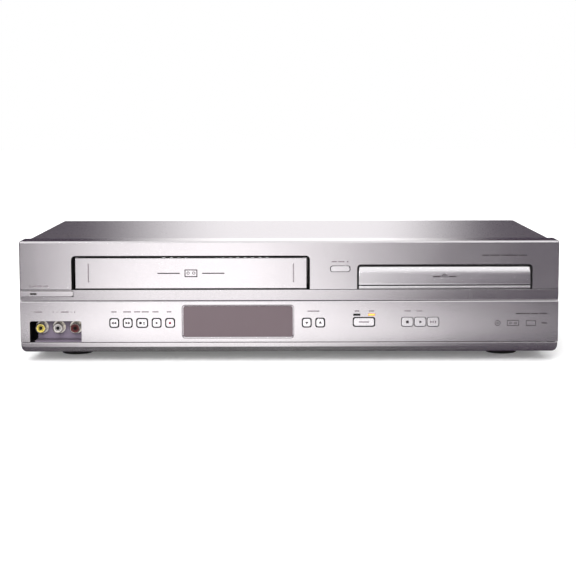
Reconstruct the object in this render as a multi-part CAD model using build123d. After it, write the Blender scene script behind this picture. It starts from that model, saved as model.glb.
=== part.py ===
from build123d import *
import math
import os

# A table-top player that takes video cassettes on the left and discs on a motorised tray on the right.
# X runs to the right, Y to the back and Z up. The origin is under the middle of the player, on the table.
# Depths are counted backwards from the front face, and heights up from the table, in millimetres.

# ---------------------------------------------------------------- case
WIDTH = 435.0
HEIGHT = 99.5
DEPTH = 235.5  # from the key faces to the ends of the rear sockets
FACE_BACKSET = 0.6  # how far the keys stand out of the front face
FOOT_HEIGHT = 9.2
FOOT_RADIUS = 13.0
FOOT_INSET_SIDE = 38.0
FOOT_INSET_FRONT = 60.0
WALL = 2.5  # moulded front parts
SEAM = 0.4  # gap between front mouldings
CLEAR = 0.3  # running gap between parts that move past each other
FIT_GAP = 0.05  # radial gap of a shaft in its bore
PEG_GAP = 0.5  # gap round a post that passes a board
FASCIA_DEPTH = 28.0
CREASE_HEIGHT = 0.605 * HEIGHT  # lower edge of the flat upper face
BAND_HEIGHT = 9.0
BAND_BOTTOM = CREASE_HEIGHT - BAND_HEIGHT
BAND_RECESS = 2.0
TOP_EDGE_RADIUS = 1.7
TRIM_HEIGHT = 8.0
TRIM_TOP = FOOT_HEIGHT + TRIM_HEIGHT
TRIM_DEPTH = 9.0
TRIM_END_RADIUS = 4.0
COVER_STEP = 4.0  # the cover is this much narrower than the front, each side
COVER_SHEET = 0.8
COVER_DROP = 0.2
SOCKET_REACH = 6.4  # rear sockets beyond the rear panel
PANEL_SHEET = 1.0
BASE_FLOOR = 2.0
BASE_WALL = 12.0
BASE_GAP = 0.4
VENT_COUNT = 9
VENT_PITCH = 7.0
VENT_WIDTH = 2.6
VENT_LENGTH = 34.0
SIDE_VENT_DROP = 20.0
REAR_VENT_TOP = 0.8 * HEIGHT
REAR_VENT_LEFT = 0.276 * WIDTH  # left of the middle
BASE_VENT_SPREAD = 0.23 * WIDTH
BASE_VENT_DEPTH = 0.38 * DEPTH
SCREW_HEAD_RADIUS = 3.4
SCREW_HEAD_HEIGHT = 1.6
SCREW_RADIUS = 1.4
SCREW_LENGTH = 7.0

# ---------------------------------------------------------------- tape slot and door
CASSETTE_WIDTH = 187.0
CASSETTE_HEIGHT = 25.0
SLOT_WIDTH = CASSETTE_WIDTH + 4.1
SLOT_HEIGHT = CASSETTE_HEIGHT + 2.1
SLOT_CORNER = 3.0
FRAME_LIP = 1.0
FRAME_RECESS = 0.9
FRAME_DEPTH = 7.0
SILL = 1.3
SILL_SETBACK = 0.8
DOOR_SIDE_GAP = 2.4
DOOR_HEIGHT = 25.0
DOOR_BOTTOM_GAP = 0.7
DOOR_THICK = 2.2
DOOR_RECESS = 0.8
DOOR_MARK_INSET = 10.5
DOOR_MARK_HEIGHT = 15.0
DOOR_MARK_WIDTH = 0.9
DOOR_MARK_DEPTH = 0.4
DOOR_PIVOT_DEPTH = 5.0
DOOR_PIVOT_SHARE = 0.38  # of the room between the slot and the inside of the top
EAR_SHARE = 0.36
DOOR_PIN_RADIUS = 1.5
DOOR_ARM = 2.5
EAR_THICK = 2.5
SPRING_WIRE = 0.7
SPRING_TURNS = 6.366
SPRING_LENGTH = 8.0
SPRING_LEG = 3.6
SPRING_DROP = 8.0
SPRING_JOIN = 0.2  # how far the legs reach into the end turns

# ---------------------------------------------------------------- disc slot and tray door
TRAY_SLOT_WIDTH = 140.9
TRAY_SLOT_HEIGHT = 20.0
SPARE_WIDTH = WIDTH - SLOT_WIDTH - TRAY_SLOT_WIDTH  # what the two slots leave of the front
SLOT_INSET = 0.4155 * SPARE_WIDTH  # from the left edge of the front
TRAY_SLOT_INSET = 0.2097 * SPARE_WIDTH  # from the right edge of the front
TRAY_COLLAR = 0.8
TRAY_DOOR_GAP = 0.5
TRAY_DOOR_TOP_GAP = 1.3
TRAY_DOOR_THICK = 3.0
TRAY_DOOR_CROWN = 4.2
TRAY_GROOVE_RISE = 2.2
TRAY_GROOVE = 0.7

# ---------------------------------------------------------------- keys
KEY_HOLE = 8.0
KEY_GAP = 0.8
KEY_CORNER = 2.0
KEY_SPACE = 2.9
KEY_WIDE_HOLE = 9.6
KEY_FLANGE = 1.2
KEY_FLANGE_LIP = 1.6
KEY_TRAVEL = 0.6
KEY_STEM_RADIUS = 1.6
KEY_DROP = 1.0  # the key row is this much below the middle of the panel
KEY_ROW_INSET = 0.1655 * WIDTH  # first key hole from the left edge
CHANNEL_KEY_SPACE = 6.6  # from the display
SOURCE_KEY_INSET = 0.34 * WIDTH  # right end of the key from the right edge
SOURCE_KEY_WIDTH = 18.2
DISC_KEY_INSET = 0.2211 * WIDTH
DISC_KEY_WIDTH = 9.9
DISC_KEY_SPACE = 0.5
DISC_KEY_LIFT = 0.5
TRAY_KEY_SPACE = 0.0544 * SPARE_WIDTH  # from the disc slot
TRAY_KEY_WIDTH = 0.158 * SPARE_WIDTH
TRAY_KEY_HEIGHT = 5.2
TRAY_KEY_LIFT = 16.7  # above the crease
POWER_WIDTH = SLOT_INSET + 0.2
POWER_LIFT = 3.4  # above the bottom of the band
POWER_BOTTOM = BAND_BOTTOM + POWER_LIFT
POWER_DEPTH = 7.0
SWITCH_SIZE = 6.0
SWITCH_BODY = 3.2
PLUNGER_RADIUS = 1.7
PLUNGER = 0.9
LAMP_WIDTH = 5.4
LAMP_HEIGHT = 1.4
LAMP_LIFT = 6.4  # above the middle of the key row

# ---------------------------------------------------------------- display, front sockets and key board
WINDOW_SPACE = 0.0138 * WIDTH  # after the key row
WINDOW_WIDTH = 0.2067 * WIDTH
WINDOW_SILL = 3.2
WINDOW_HEAD = 3.4
WINDOW_CORNER = 2.4
WINDOW_RECESS = 0.5
WINDOW_THICK = 3.0
DISPLAY_THICK = 7.0
NICHE_INSET = 7.6
NICHE_WIDTH = 41.8
NICHE_SILL = 0.8
NICHE_SHARE = 0.515  # of the panel's height
NICHE_DEPTH = 20.0
NICHE_WALL = 1.4
NICHE_CORNER = 1.8
JACK_SPACE = 14.0
JACK_SHARE = 0.29
JACK_HOLE = 5.4
JACK_RADIUS = 4.15
JACK_SHELL = 0.4
JACK_BORE = 1.6
JACK_REACH = 8.0  # out of the niche's back wall
JACK_BLOCK = 7.0
BOARD_DEPTH = 14.0
BOARD_THICK = 1.6
KEY_BOARD_SILL = 2.0
KEY_BOARD_HEAD = 2.8
KEY_BOARD_INSET = 54.5
BOSS_RADIUS = 2.6

# ---------------------------------------------------------------- main board and power parts
MAIN_BOARD_RISE = 0.181 * HEIGHT
MAIN_BOARD_INSET = 10.0
BOARD_FRONT = 33.0
BOARD_BACK_GAP = 3.0
BOARD_POST_RADIUS = 3.0
TRANSFORMER = (38.0, 32.0, 25.0)
CAPACITOR_RADIUS = 6.5
CAPACITOR_HEIGHT = 22.0
TRANSFORMER_SIDE = 34.0  # from the loader's middle
TRANSFORMER_DEPTH = 120.0
CAPACITOR_COUNT = 3
CAPACITOR_PITCH = 16.0
SINK_WIDTH = 60.0
SINK_THICK = 3.0
SINK_SPACE = 32.5
SINK_FINS = 7
SINK_FIN = 1.6
SINK_FIN_LENGTH = 8.0
TUNER = (26.0, 62.0, 38.0)
RF_SOCKET_RADIUS = 4.7
RF_SOCKET_BORE = 3.6
INLET_WIDTH = 20.0
INLET_HEIGHT = 10.0
INLET_DEPTH = 16.0
REAR_JACK_COLUMNS = 5
REAR_JACK_ROWS = 2
REAR_JACK_SPACE = 17.0
REAR_JACK_RISE = 33.0

# ---------------------------------------------------------------- disc loader
DISC_RADIUS = 60.0
TRAY_WIDTH = 128.0
TRAY_LENGTH = 172.0
TRAY_BOTTOM = CREASE_HEIGHT + 6.8
TRAY_THICK = 4.5
TRAY_FLOOR = 2.0
TRAY_SLOT_HALF = 18.0
DISC_CENTRE_DEPTH = 70.0
TRAY_STROKE = 140.0
LOADER_WALL = 2.4
LOADER_BASE = CREASE_HEIGHT - 10.2
LOADER_PLATE = 2.0
LOADER_TOP = TRAY_BOTTOM + 9.0
LOADER_FRONT = 8.0
LOADER_BASE_FRONT = 14.8
LOADER_BACK = 182.0
LEDGE = 2.0
WINDOW_FRAME = 3.0
LOADER_POST_RADIUS = 5.0
LOADER_POST_DEPTHS = (24.0, 168.0)
GEAR_MODULE = 1.0
PINION_TEETH = 20
SPUR_MODULE = 0.8
SPUR_TEETH = 36
MOTOR_TEETH = 16
GEAR_BACKLASH = 0.3
GEAR_DEPTH = 26.0  # gear axis behind the face
GEAR_WIDTH = 3.4
GEAR_STUD_RADIUS = 2.0
RACK_BODY = 3.5
RACK_INSET = 3.0
MOTOR_RADIUS = 10.0
MOTOR_HEIGHT = 17.0
TRAVERSE_HALF = 44.0
TRAVERSE_BACK = 152.0
TRAVERSE_FRONT = 46.0
TRAVERSE_RISE = LOADER_BASE + 6.0
TRAVERSE_SHEET = 2.0
TRAVERSE_HINGE_DEPTH = 146.0
HINGE_PIN_RADIUS = 1.5
SPINDLE_RADIUS = 1.0
SPINDLE_MOTOR_RADIUS = 12.0
SPINDLE_MOTOR_HEIGHT = 7.0
TURNTABLE_RADIUS = 15.0
TURNTABLE_TOP = TRAY_BOTTOM + 3.2
HUB_RADIUS = 7.3
PICKUP_WIDTH = 44.0
PICKUP_LENGTH = 22.0
PICKUP_HEIGHT = 6.0
PICKUP_OFFSET = 31.0  # behind the spindle, at the inner stop
PICKUP_TRAVEL = 33.0
ROD_RADIUS = 1.5
ROD_SPREAD = 16.0
LENS_RADIUS = 4.0
CLAMPER_RADIUS = 13.0
CLAMPER_NECK = 8.0
CLAMPER_FLANGE = 10.8
BRIDGE_DEPTH = 26.0
BRIDGE_SHEET = 1.5

# ---------------------------------------------------------------- tape deck
HOLDER_FRONT = 37.0
HOLDER_LENGTH = 45.0
HOLDER_SHEET = 1.0
HOLDER_LIP = 12.0
DRUM_SPACE = 13.0  # from the drawn-in holder to the drum
HOLDER_DROP = 22.0
HOLDER_PIN_RADIUS = 2.0
SLIDER_SHEET = 1.0
SLIDER_BAR = 10.0
DECK_TOP = 0.3015 * HEIGHT
DECK_SHEET = 1.2
DECK_BACK = DEPTH - 14.5
DECK_TAIL = 75.0  # the plate's left half width behind its walls
DECK_FRONT = 35.0
DECK_WALL_MARGIN = 1.1
DECK_POST_RADIUS = 4.0
DECK_POST_INSET = 8.0
DRUM_RADIUS = 31.0
DRUM_LOWER = 16.0
DRUM_UPPER = 14.0
DRUM_GAP = 0.4
DRUM_TILT = 5.0
DRUM_DEPTH = DECK_BACK - 35.0
DRUM_SHAFT = 3.0
DRUM_STAND = 6.0
REEL_SPREAD = 93.5
REEL_DEPTH = 89.0
REEL_RADIUS = 17.0
REEL_TABLE = 3.0
REEL_HUB = 9.0
REEL_STUD = 2.0
REEL_HEIGHT = 18.0
CAPSTAN_OFFSET = 68.0
CAPSTAN_DEPTH = DRUM_DEPTH - 28.0
DECK_WALL_BACK = CAPSTAN_DEPTH - 6.0
CAPSTAN_RADIUS = 1.5
CAPSTAN_TOP = DECK_TOP + 30.0
FLYWHEEL_RADIUS = 22.0
FLYWHEEL_THICK = 5.0
BEARING_RADIUS = 4.0
BEARING_HEIGHT = 12.0
HEAD = (10.0, 8.0, 19.0)
HEAD_LIFT = 8.0
HEAD_STAND = 3.5
HEAD_SPACE = 15.0  # from the capstan, across
HEAD_SETBACK = 7.0
LOADING_MOTOR_SIDE = 62.0
LOADING_MOTOR_RADIUS = 8.0
LOADING_MOTOR_LENGTH = 32.0
ROLLER_RADIUS = 6.0
ROLLER_HEIGHT = 14.0
ARM_LENGTH = 22.0
ARM_SHEET = 2.0
ARM_STUD = 2.0
ARM_REST_ANGLE = 40.0  # how far the arm stands back from the capstan
GUIDE_START = (24.0, DRUM_DEPTH - 58.0)  # from the drum's centre line, and depth
GUIDE_END = (43.0, DRUM_DEPTH - 10.0)
GUIDE_RADIUS = 2.5
GUIDE_HEIGHT = 28.0
GUIDE_BASE = 5.0

# ---------------------------------------------------------------- places that follow from the sizes
FACE = -DEPTH / 2 + FACE_BACKSET
LEFT, RIGHT = -WIDTH / 2, WIDTH / 2
REAR_DEPTH = DEPTH - FACE_BACKSET - SOCKET_REACH  # outer face of the rear panel
COVER_HALF = WIDTH / 2 - COVER_STEP
COVER_TOP = HEIGHT - COVER_DROP
BASE_HALF = COVER_HALF - COVER_SHEET - BASE_GAP
BASE_TOP = FOOT_HEIGHT + BASE_FLOOR
BASE_FRONT = TRIM_DEPTH + SEAM
PANEL_TOP = BAND_BOTTOM - SEAM
PANEL_BOTTOM = TRIM_TOP + SEAM
PANEL_HEIGHT = PANEL_TOP - PANEL_BOTTOM
KEY_RISE = PANEL_BOTTOM + PANEL_HEIGHT / 2 - KEY_DROP
DISC_KEY_RISE = KEY_RISE + DISC_KEY_LIFT
LAMP_RISE = KEY_RISE + LAMP_LIFT
TRAY_KEY_RISE = CREASE_HEIGHT + TRAY_KEY_LIFT
NICHE_BOTTOM = PANEL_BOTTOM + NICHE_SILL
NICHE_TOP = PANEL_BOTTOM + NICHE_SHARE * PANEL_HEIGHT
JACK_RISE = PANEL_BOTTOM + JACK_SHARE * PANEL_HEIGHT
KEY_BOARD_BOTTOM = PANEL_BOTTOM + KEY_BOARD_SILL
KEY_BOARD_TOP = PANEL_TOP - KEY_BOARD_HEAD
SLOT = (LEFT + SLOT_INSET, LEFT + SLOT_INSET + SLOT_WIDTH)
SLOT_TOP = CREASE_HEIGHT + SLOT_HEIGHT
DECK_X = (SLOT[0] + SLOT[1]) / 2
DOOR = (SLOT[0] + DOOR_SIDE_GAP, SLOT[1] - DOOR_SIDE_GAP)
DOOR_BOTTOM = CREASE_HEIGHT + DOOR_BOTTOM_GAP
HEAD_ROOM = HEIGHT - WALL - SLOT_TOP
DOOR_PIVOT = (DOOR_PIVOT_DEPTH, SLOT_TOP + DOOR_PIVOT_SHARE * HEAD_ROOM)
TRAY_SLOT = (RIGHT - TRAY_SLOT_INSET - TRAY_SLOT_WIDTH, RIGHT - TRAY_SLOT_INSET)
TRAY_SLOT_TOP = CREASE_HEIGHT + TRAY_SLOT_HEIGHT
TRAY_X = (TRAY_SLOT[0] + TRAY_SLOT[1]) / 2
TRAY_DOOR = (TRAY_SLOT[0] + TRAY_COLLAR + TRAY_DOOR_GAP, TRAY_SLOT[1] - TRAY_COLLAR - TRAY_DOOR_GAP)
TRAY_DOOR_BOTTOM = CREASE_HEIGHT + TRAY_DOOR_GAP
TRAY_DOOR_TOP = TRAY_SLOT_TOP - TRAY_DOOR_TOP_GAP
KEY_ROW_LENGTH = 4 * KEY_HOLE + KEY_WIDE_HOLE + 4 * KEY_SPACE
WINDOW_LEFT = LEFT + KEY_ROW_INSET + KEY_ROW_LENGTH + WINDOW_SPACE
WINDOW = (WINDOW_LEFT, WINDOW_LEFT + WINDOW_WIDTH)
WINDOW_BOTTOM = PANEL_BOTTOM + WINDOW_SILL
WINDOW_TOP = PANEL_TOP - WINDOW_HEAD
NICHE = (LEFT + NICHE_INSET, LEFT + NICHE_INSET + NICHE_WIDTH)
JACK_XS = [sum(NICHE) / 2 + step * JACK_SPACE for step in (-1, 0, 1)]
JACK_FRONT = NICHE_DEPTH - JACK_REACH
NICHE_BACK = NICHE_DEPTH + NICHE_WALL
SWITCH_FACE = BOARD_DEPTH - SWITCH_BODY - PLUNGER
STEM_END = SWITCH_FACE - KEY_TRAVEL - FIT_GAP
KEY_BOARD = (LEFT + KEY_BOARD_INSET, RIGHT - KEY_BOARD_INSET)
TAPE_KEYS = ("rewind", "forward", "tape_stop", "tape_play", "record")
TAPE_KEY_WIDTHS = [KEY_WIDE_HOLE if name == "tape_stop" else KEY_HOLE for name in TAPE_KEYS]
BOARD_TOP = MAIN_BOARD_RISE + BOARD_THICK
BOARD_BACK = REAR_DEPTH - PANEL_SHEET - BOARD_BACK_GAP
DECK_UNDER = DECK_TOP - DECK_SHEET
HOLDER_HALF = CASSETTE_WIDTH / 2 + 0.5 + HOLDER_SHEET
HOLDER_FLOOR = CREASE_HEIGHT + 0.6
HOLDER_CEILING = HOLDER_FLOOR + CASSETTE_HEIGHT + 0.5
HOLDER_PIN_RISE = HOLDER_FLOOR + CASSETTE_HEIGHT / 2
HOLDER_PIN_DEPTHS = (HOLDER_FRONT + 8, HOLDER_FRONT + HOLDER_LENGTH - 8)
HOLDER_TRAVEL = DRUM_DEPTH - DRUM_RADIUS - DRUM_SPACE - HOLDER_FRONT - HOLDER_LENGTH
SLIDER_TOP = HOLDER_CEILING + HOLDER_SHEET + 2 * CLEAR + SLIDER_SHEET
DECK_WALL_TOP = SLIDER_TOP + DECK_WALL_MARGIN
DECK_HALF = HOLDER_HALF + SLIDER_SHEET + 3 * CLEAR + CLEAR
DECK_WALLS = (DECK_X - DECK_HALF - DECK_SHEET, DECK_X + DECK_HALF + DECK_SHEET)
DECK_TAIL_LEFT = DECK_X - DECK_TAIL
DECK_POSTS = [
    (DECK_WALLS[0] + DECK_POST_INSET, DECK_FRONT + DECK_POST_INSET),
    (DECK_TAIL_LEFT + DECK_POST_INSET, DECK_BACK - DECK_POST_INSET),
    (DECK_WALLS[1] - DECK_POST_INSET, DECK_FRONT + DECK_POST_INSET),
    (DECK_WALLS[1] - DECK_POST_INSET, DECK_BACK - DECK_POST_INSET),
]
TRAY_LEFT = TRAY_X - TRAY_WIDTH / 2
LOADER_HALF = TRAY_WIDTH / 2 + 2 * CLEAR
LOADER_OUTER = LOADER_HALF + LOADER_WALL
LOADER_POSTS = [
    (TRAY_X + side * (LOADER_OUTER - LOADER_POST_RADIUS), depth)
    for side in (-1, 1)
    for depth in LOADER_POST_DEPTHS
]
PINION_RADIUS = GEAR_MODULE * PINION_TEETH / 2
SPUR_RADIUS = SPUR_MODULE * SPUR_TEETH / 2
MOTOR_PITCH_RADIUS = SPUR_MODULE * MOTOR_TEETH / 2
RACK_PITCH_X = TRAY_LEFT + RACK_INSET + RACK_BODY + 1.25 * GEAR_MODULE
GEAR_X = RACK_PITCH_X + PINION_RADIUS
MOTOR_X = GEAR_X + SPUR_RADIUS + MOTOR_PITCH_RADIUS
RACK_BOTTOM = TRAY_BOTTOM - GEAR_WIDTH - 2 * CLEAR
SPUR_TOP = RACK_BOTTOM - CLEAR
SPUR_BOTTOM = SPUR_TOP - GEAR_WIDTH
TRAVERSE_TOP = TRAVERSE_RISE + TRAVERSE_SHEET
ROD_RISE = TRAVERSE_TOP + 3.5
FOOT_PLACES = [
    (side * (WIDTH / 2 - FOOT_INSET_SIDE), depth)
    for side in (-1, 1)
    for depth in (FOOT_INSET_FRONT, REAR_DEPTH - FOOT_INSET_FRONT)
]
BOARD_POSTS = [
    (side * (BASE_HALF - 14), depth)
    for side in (-1, 1)
    for depth in (BOARD_FRONT + 6, BOARD_BACK - 8)
] + [(DECK_WALLS[1] + 12, depth) for depth in (BOARD_FRONT + 6, BOARD_BACK - 8)]
REAR_JACK_LEFT = TRAY_X - (REAR_JACK_COLUMNS - 1) * REAR_JACK_SPACE / 2 - 18
REAR_JACK_PLACES = [
    (REAR_JACK_LEFT + column * REAR_JACK_SPACE, REAR_JACK_RISE + row * REAR_JACK_SPACE)
    for column in range(REAR_JACK_COLUMNS)
    for row in range(REAR_JACK_ROWS)
]
TUNER_X = -BASE_HALF + TUNER[0] / 2 + 8
INLET_X = RIGHT - 42
INLET_RISE = 36.0
SCREW_RISE = 34.0
SCREW_SIDE_DEPTHS = (70.0, REAR_DEPTH - 38.5)
SCREW_REAR_RISE = COVER_TOP - 9.3
SCREW_REAR_XS = (-BASE_HALF + 24, 0.0, BASE_HALF - 24)


# ---------------------------------------------------------------- shapes used everywhere
def block(x, depth, z):
    """A box between two widths, two depths behind the front face and two heights."""
    size = (x[1] - x[0], depth[1] - depth[0], z[1] - z[0])
    centre = ((x[0] + x[1]) / 2, FACE + (depth[0] + depth[1]) / 2, (z[0] + z[1]) / 2)
    return Pos(*centre) * Box(*size)


def centred(x, depth, z):
    """A box given as (middle, size) in width and depth, and (low, high) in height."""
    return block((x[0] - x[1] / 2, x[0] + x[1] / 2), (depth[0] - depth[1] / 2, depth[0] + depth[1] / 2), z)


def front_plate(x, z, depth, corner):
    """A plate with rounded corners as seen from the front, between two depths."""
    width, height = x[1] - x[0], z[1] - z[0]
    radius = min(corner, width / 2 - 0.01, height / 2 - 0.01)
    plate = extrude(RectangleRounded(width, height, radius), amount=depth[1] - depth[0])
    return Pos((x[0] + x[1]) / 2, FACE + depth[1], (z[0] + z[1]) / 2) * Rot(90, 0, 0) * plate


def post(x, depth, z, radius):
    """An upright cylinder."""
    return Pos(x, FACE + depth, (z[0] + z[1]) / 2) * Cylinder(radius, z[1] - z[0])


def front_rod(x, z, depth, radius):
    """A cylinder along the depth."""
    return Pos(x, FACE + (depth[0] + depth[1]) / 2, z) * Rot(90, 0, 0) * Cylinder(radius, depth[1] - depth[0])


def cross_rod(x, depth, z, radius):
    """A cylinder along the width."""
    return Pos((x[0] + x[1]) / 2, FACE + depth, z) * Rot(0, 90, 0) * Cylinder(radius, x[1] - x[0])


def side_profile(x, points):
    """An outline of (depth, height) points, carried along the width."""
    outline = Plane.YZ * Polygon(*[(FACE + depth, z) for depth, z in points], align=None)
    return Pos(x[0], 0, 0) * extrude(outline, amount=x[1] - x[0], dir=(1, 0, 0))


def grown(span, by):
    """The same span, longer by the amount at both ends."""
    return (span[0] - by, span[1] + by)


def corner_cutter(x, z, depth, side, radius=1.8):
    """What has to go to round a lower corner, seen from the front. Side is 1 at the right and -1 at the left."""
    inner = x - side * radius
    square = block(sorted((inner, x + side)), depth, (z - 1, z + radius))
    return square - front_rod(inner, z + radius, grown(depth, 1), radius)


# ---------------------------------------------------------------- front mouldings
def side_returns(z):
    """The inward edges at the back of a front moulding, which close the step to the cover."""
    inner, outer = COVER_HALF + CLEAR, WIDTH / 2 - WALL + 0.5
    depth = (FASCIA_DEPTH - WALL, FASCIA_DEPTH)
    return block((inner, outer), depth, z) + block((-outer, -inner), depth, z)


def upper_fascia():
    """The upper half of the front: a hollow moulding with a flat face over a band that leans back."""
    outer = side_profile(
        (LEFT, RIGHT),
        [(0, CREASE_HEIGHT), (0, HEIGHT), (FASCIA_DEPTH, HEIGHT), (FASCIA_DEPTH, BAND_BOTTOM), (BAND_RECESS, BAND_BOTTOM)],
    )
    front_top = [e for e in outer.edges() if abs(e.center().Y - FACE) < 0.01 and abs(e.center().Z - HEIGHT) < 0.01]
    outer = fillet(front_top, TOP_EDGE_RADIUS)
    uprights = [e for e in outer.edges().filter_by(Axis.Z) if abs(e.center().Y - FACE) < 0.01]
    outer = fillet(uprights, TOP_EDGE_RADIUS / 2)
    hollow = side_profile(
        (LEFT + WALL, RIGHT - WALL),
        [
            (WALL, CREASE_HEIGHT),
            (WALL, HEIGHT - WALL),
            (FASCIA_DEPTH + 1, HEIGHT - WALL),
            (FASCIA_DEPTH + 1, BAND_BOTTOM - 1),
            (BOARD_DEPTH, BAND_BOTTOM - 1),
            (BOARD_DEPTH, BAND_BOTTOM + WALL),
            (BAND_RECESS + WALL, BAND_BOTTOM + WALL),
        ],
    )
    crease = block((LEFT - 1, RIGHT + 1), (-1, 0.5), (CREASE_HEIGHT - 0.25, CREASE_HEIGHT + 0.25))
    through = (-1, WALL + 1)
    tape_hole = front_plate(SLOT, (CREASE_HEIGHT, SLOT_TOP), through, SLOT_CORNER)
    tape_hole += block(SLOT, through, (CREASE_HEIGHT, CREASE_HEIGHT + SLOT_CORNER))
    tray_hole = front_plate(TRAY_SLOT, (CREASE_HEIGHT, TRAY_SLOT_TOP), through, SLOT_CORNER)
    tray_hole += block(TRAY_SLOT, through, (CREASE_HEIGHT, CREASE_HEIGHT + SLOT_CORNER))
    body = outer - hollow - crease - tape_hole - tray_hole
    key = tray_key_place()
    body -= front_plate(key["x"], key["z"], through, KEY_CORNER)
    notch = power_place()
    notch_depth = POWER_DEPTH + KEY_TRAVEL + CLEAR
    body -= block((LEFT - 1, notch["x"][1] + CLEAR), (-1, notch_depth), grown(notch["z"], CLEAR))
    for x in (key["x"][0] - 2 * BOSS_RADIUS, key["x"][1] - BOSS_RADIUS):
        body += front_rod(x, key["z"][0] - 2 * BOSS_RADIUS, (WALL - 0.5, BOARD_DEPTH), BOSS_RADIUS)
    body += side_returns((BAND_BOTTOM, HEIGHT - WALL))
    for x in (notch["x"][0] + 3 * BOSS_RADIUS, notch["x"][1] - 2 * BOSS_RADIUS):
        body += front_rod(x, CREASE_HEIGHT + 2 * BOSS_RADIUS, (WALL - 0.5, BOARD_DEPTH), BOSS_RADIUS)
    return body


def control_panel():
    """The lower half of the front, with the key holes, the display cut-out and the socket niche."""
    face = side_profile(
        (LEFT, RIGHT),
        [(0, PANEL_BOTTOM), (0, PANEL_TOP), (BOARD_DEPTH - 1, PANEL_TOP), (BOARD_DEPTH - 1, PANEL_TOP - WALL)]
        + [(WALL, PANEL_TOP - WALL), (WALL, PANEL_BOTTOM)],
    )
    top_edge = [e for e in face.edges() if abs(e.center().Y - FACE) < 0.01 and abs(e.center().Z - PANEL_TOP) < 0.01]
    face = fillet(top_edge, TOP_EDGE_RADIUS / 2)
    for side in (LEFT, RIGHT - WALL):
        face += block((side, side + WALL), (WALL - 0.5, FASCIA_DEPTH), (PANEL_BOTTOM, PANEL_TOP))
    face += side_returns((PANEL_BOTTOM, PANEL_TOP))
    niche_shell = block(grown(NICHE, NICHE_WALL), (WALL - 0.5, NICHE_BACK), (PANEL_BOTTOM, NICHE_TOP + NICHE_WALL))
    body = face + niche_shell
    pocket = front_plate(NICHE, (NICHE_BOTTOM, NICHE_TOP), (-1, NICHE_DEPTH), NICHE_CORNER)
    pocket += block(NICHE, (-1, NICHE_DEPTH), (NICHE_BOTTOM, NICHE_BOTTOM + NICHE_CORNER))
    pocket += block(NICHE, (-1, WALL), (PANEL_BOTTOM - 1, NICHE_BOTTOM + NICHE_CORNER))
    body -= pocket
    for x in JACK_XS:
        body -= front_rod(x, JACK_RISE, (NICHE_DEPTH - 1, NICHE_BACK + 1), JACK_HOLE)
    through = (-1, WALL + 1)
    body -= front_plate(WINDOW, (WINDOW_BOTTOM, WINDOW_TOP), through, WINDOW_CORNER)
    for place in panel_keys().values():
        body -= front_plate(place["x"], place["z"], through, KEY_CORNER)
    for x in lamp_xs():
        body -= lamp(x, CLEAR / 2, through)
    for x, z in key_board_bosses():
        body += front_rod(x, z, (WALL - 0.5, BOARD_DEPTH), BOSS_RADIUS)
    return body


def bottom_trim():
    """The strip under the control panel, curved back under the player, with rounded ends that run back."""
    strip = side_profile(
        (LEFT + SEAM, RIGHT - SEAM),
        [(0, TRIM_TOP), (TRIM_DEPTH, TRIM_TOP), (TRIM_DEPTH, FOOT_HEIGHT), (TRIM_DEPTH * 0.55, FOOT_HEIGHT)]
        + [(TRIM_DEPTH * 0.28, FOOT_HEIGHT + 0.9), (TRIM_DEPTH * 0.1, FOOT_HEIGHT + 2.8), (0.15, FOOT_HEIGHT + 5)],
    )
    for side in (LEFT + SEAM, RIGHT - SEAM - WALL):
        strip += block((side, side + WALL), (TRIM_DEPTH - 0.5, FASCIA_DEPTH), (FOOT_HEIGHT, TRIM_TOP))
    strip += side_returns((FOOT_HEIGHT, TRIM_TOP))
    for side in (-1, 1):
        strip -= corner_cutter(side * (WIDTH / 2 - SEAM), FOOT_HEIGHT, (-1, FASCIA_DEPTH + 1), side, TRIM_END_RADIUS)
    return strip


def tape_slot_frame():
    """The black frame inside the tape slot, with a sill behind it and the two ears that carry the tape door."""
    depth = (FRAME_RECESS, FRAME_DEPTH)
    inside_top = SLOT_TOP - FRAME_LIP
    frame = front_plate(grown(SLOT, -0.1), (CREASE_HEIGHT + 0.1, SLOT_TOP - 0.1), depth, SLOT_CORNER)
    frame += block(grown(SLOT, -0.1), depth, (CREASE_HEIGHT + 0.1, CREASE_HEIGHT + SLOT_CORNER))
    below = (CREASE_HEIGHT - 1, inside_top - SLOT_CORNER)
    through = (-1, FRAME_DEPTH + 1)
    frame -= front_plate(grown(SLOT, -FRAME_LIP), (CREASE_HEIGHT, inside_top), through, SLOT_CORNER - FRAME_LIP)
    frame -= block(grown(SLOT, -FRAME_LIP), through, below)
    head_room = block(grown(SLOT, -FRAME_LIP), (WALL, FRAME_DEPTH + 1), (SLOT_TOP - SLOT_CORNER, SLOT_TOP + 1))
    frame -= head_room
    sill_depth = (WALL + SILL_SETBACK, FRAME_DEPTH)
    frame += block(grown(SLOT, -FRAME_LIP / 2), sill_depth, (CREASE_HEIGHT - SILL, DOOR_BOTTOM - CLEAR))
    ear_z = (SLOT_TOP - 8, DOOR_PIVOT[1] + EAR_SHARE * HEAD_ROOM)
    ear_depth = (WALL, DOOR_PIVOT_DEPTH + 4)
    for inner_x, outer_x in ((SLOT[0] + FRAME_LIP, SLOT[0] - EAR_THICK), (SLOT[1] - FRAME_LIP, SLOT[1] + EAR_THICK)):
        ear = block(sorted((inner_x, outer_x)), ear_depth, ear_z)
        frame += ear
    pin_reach = (SLOT[0] - EAR_THICK - 1, SLOT[1] + EAR_THICK + 1)
    frame -= cross_rod(pin_reach, *DOOR_PIVOT, DOOR_PIN_RADIUS + FIT_GAP)
    return frame


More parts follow.
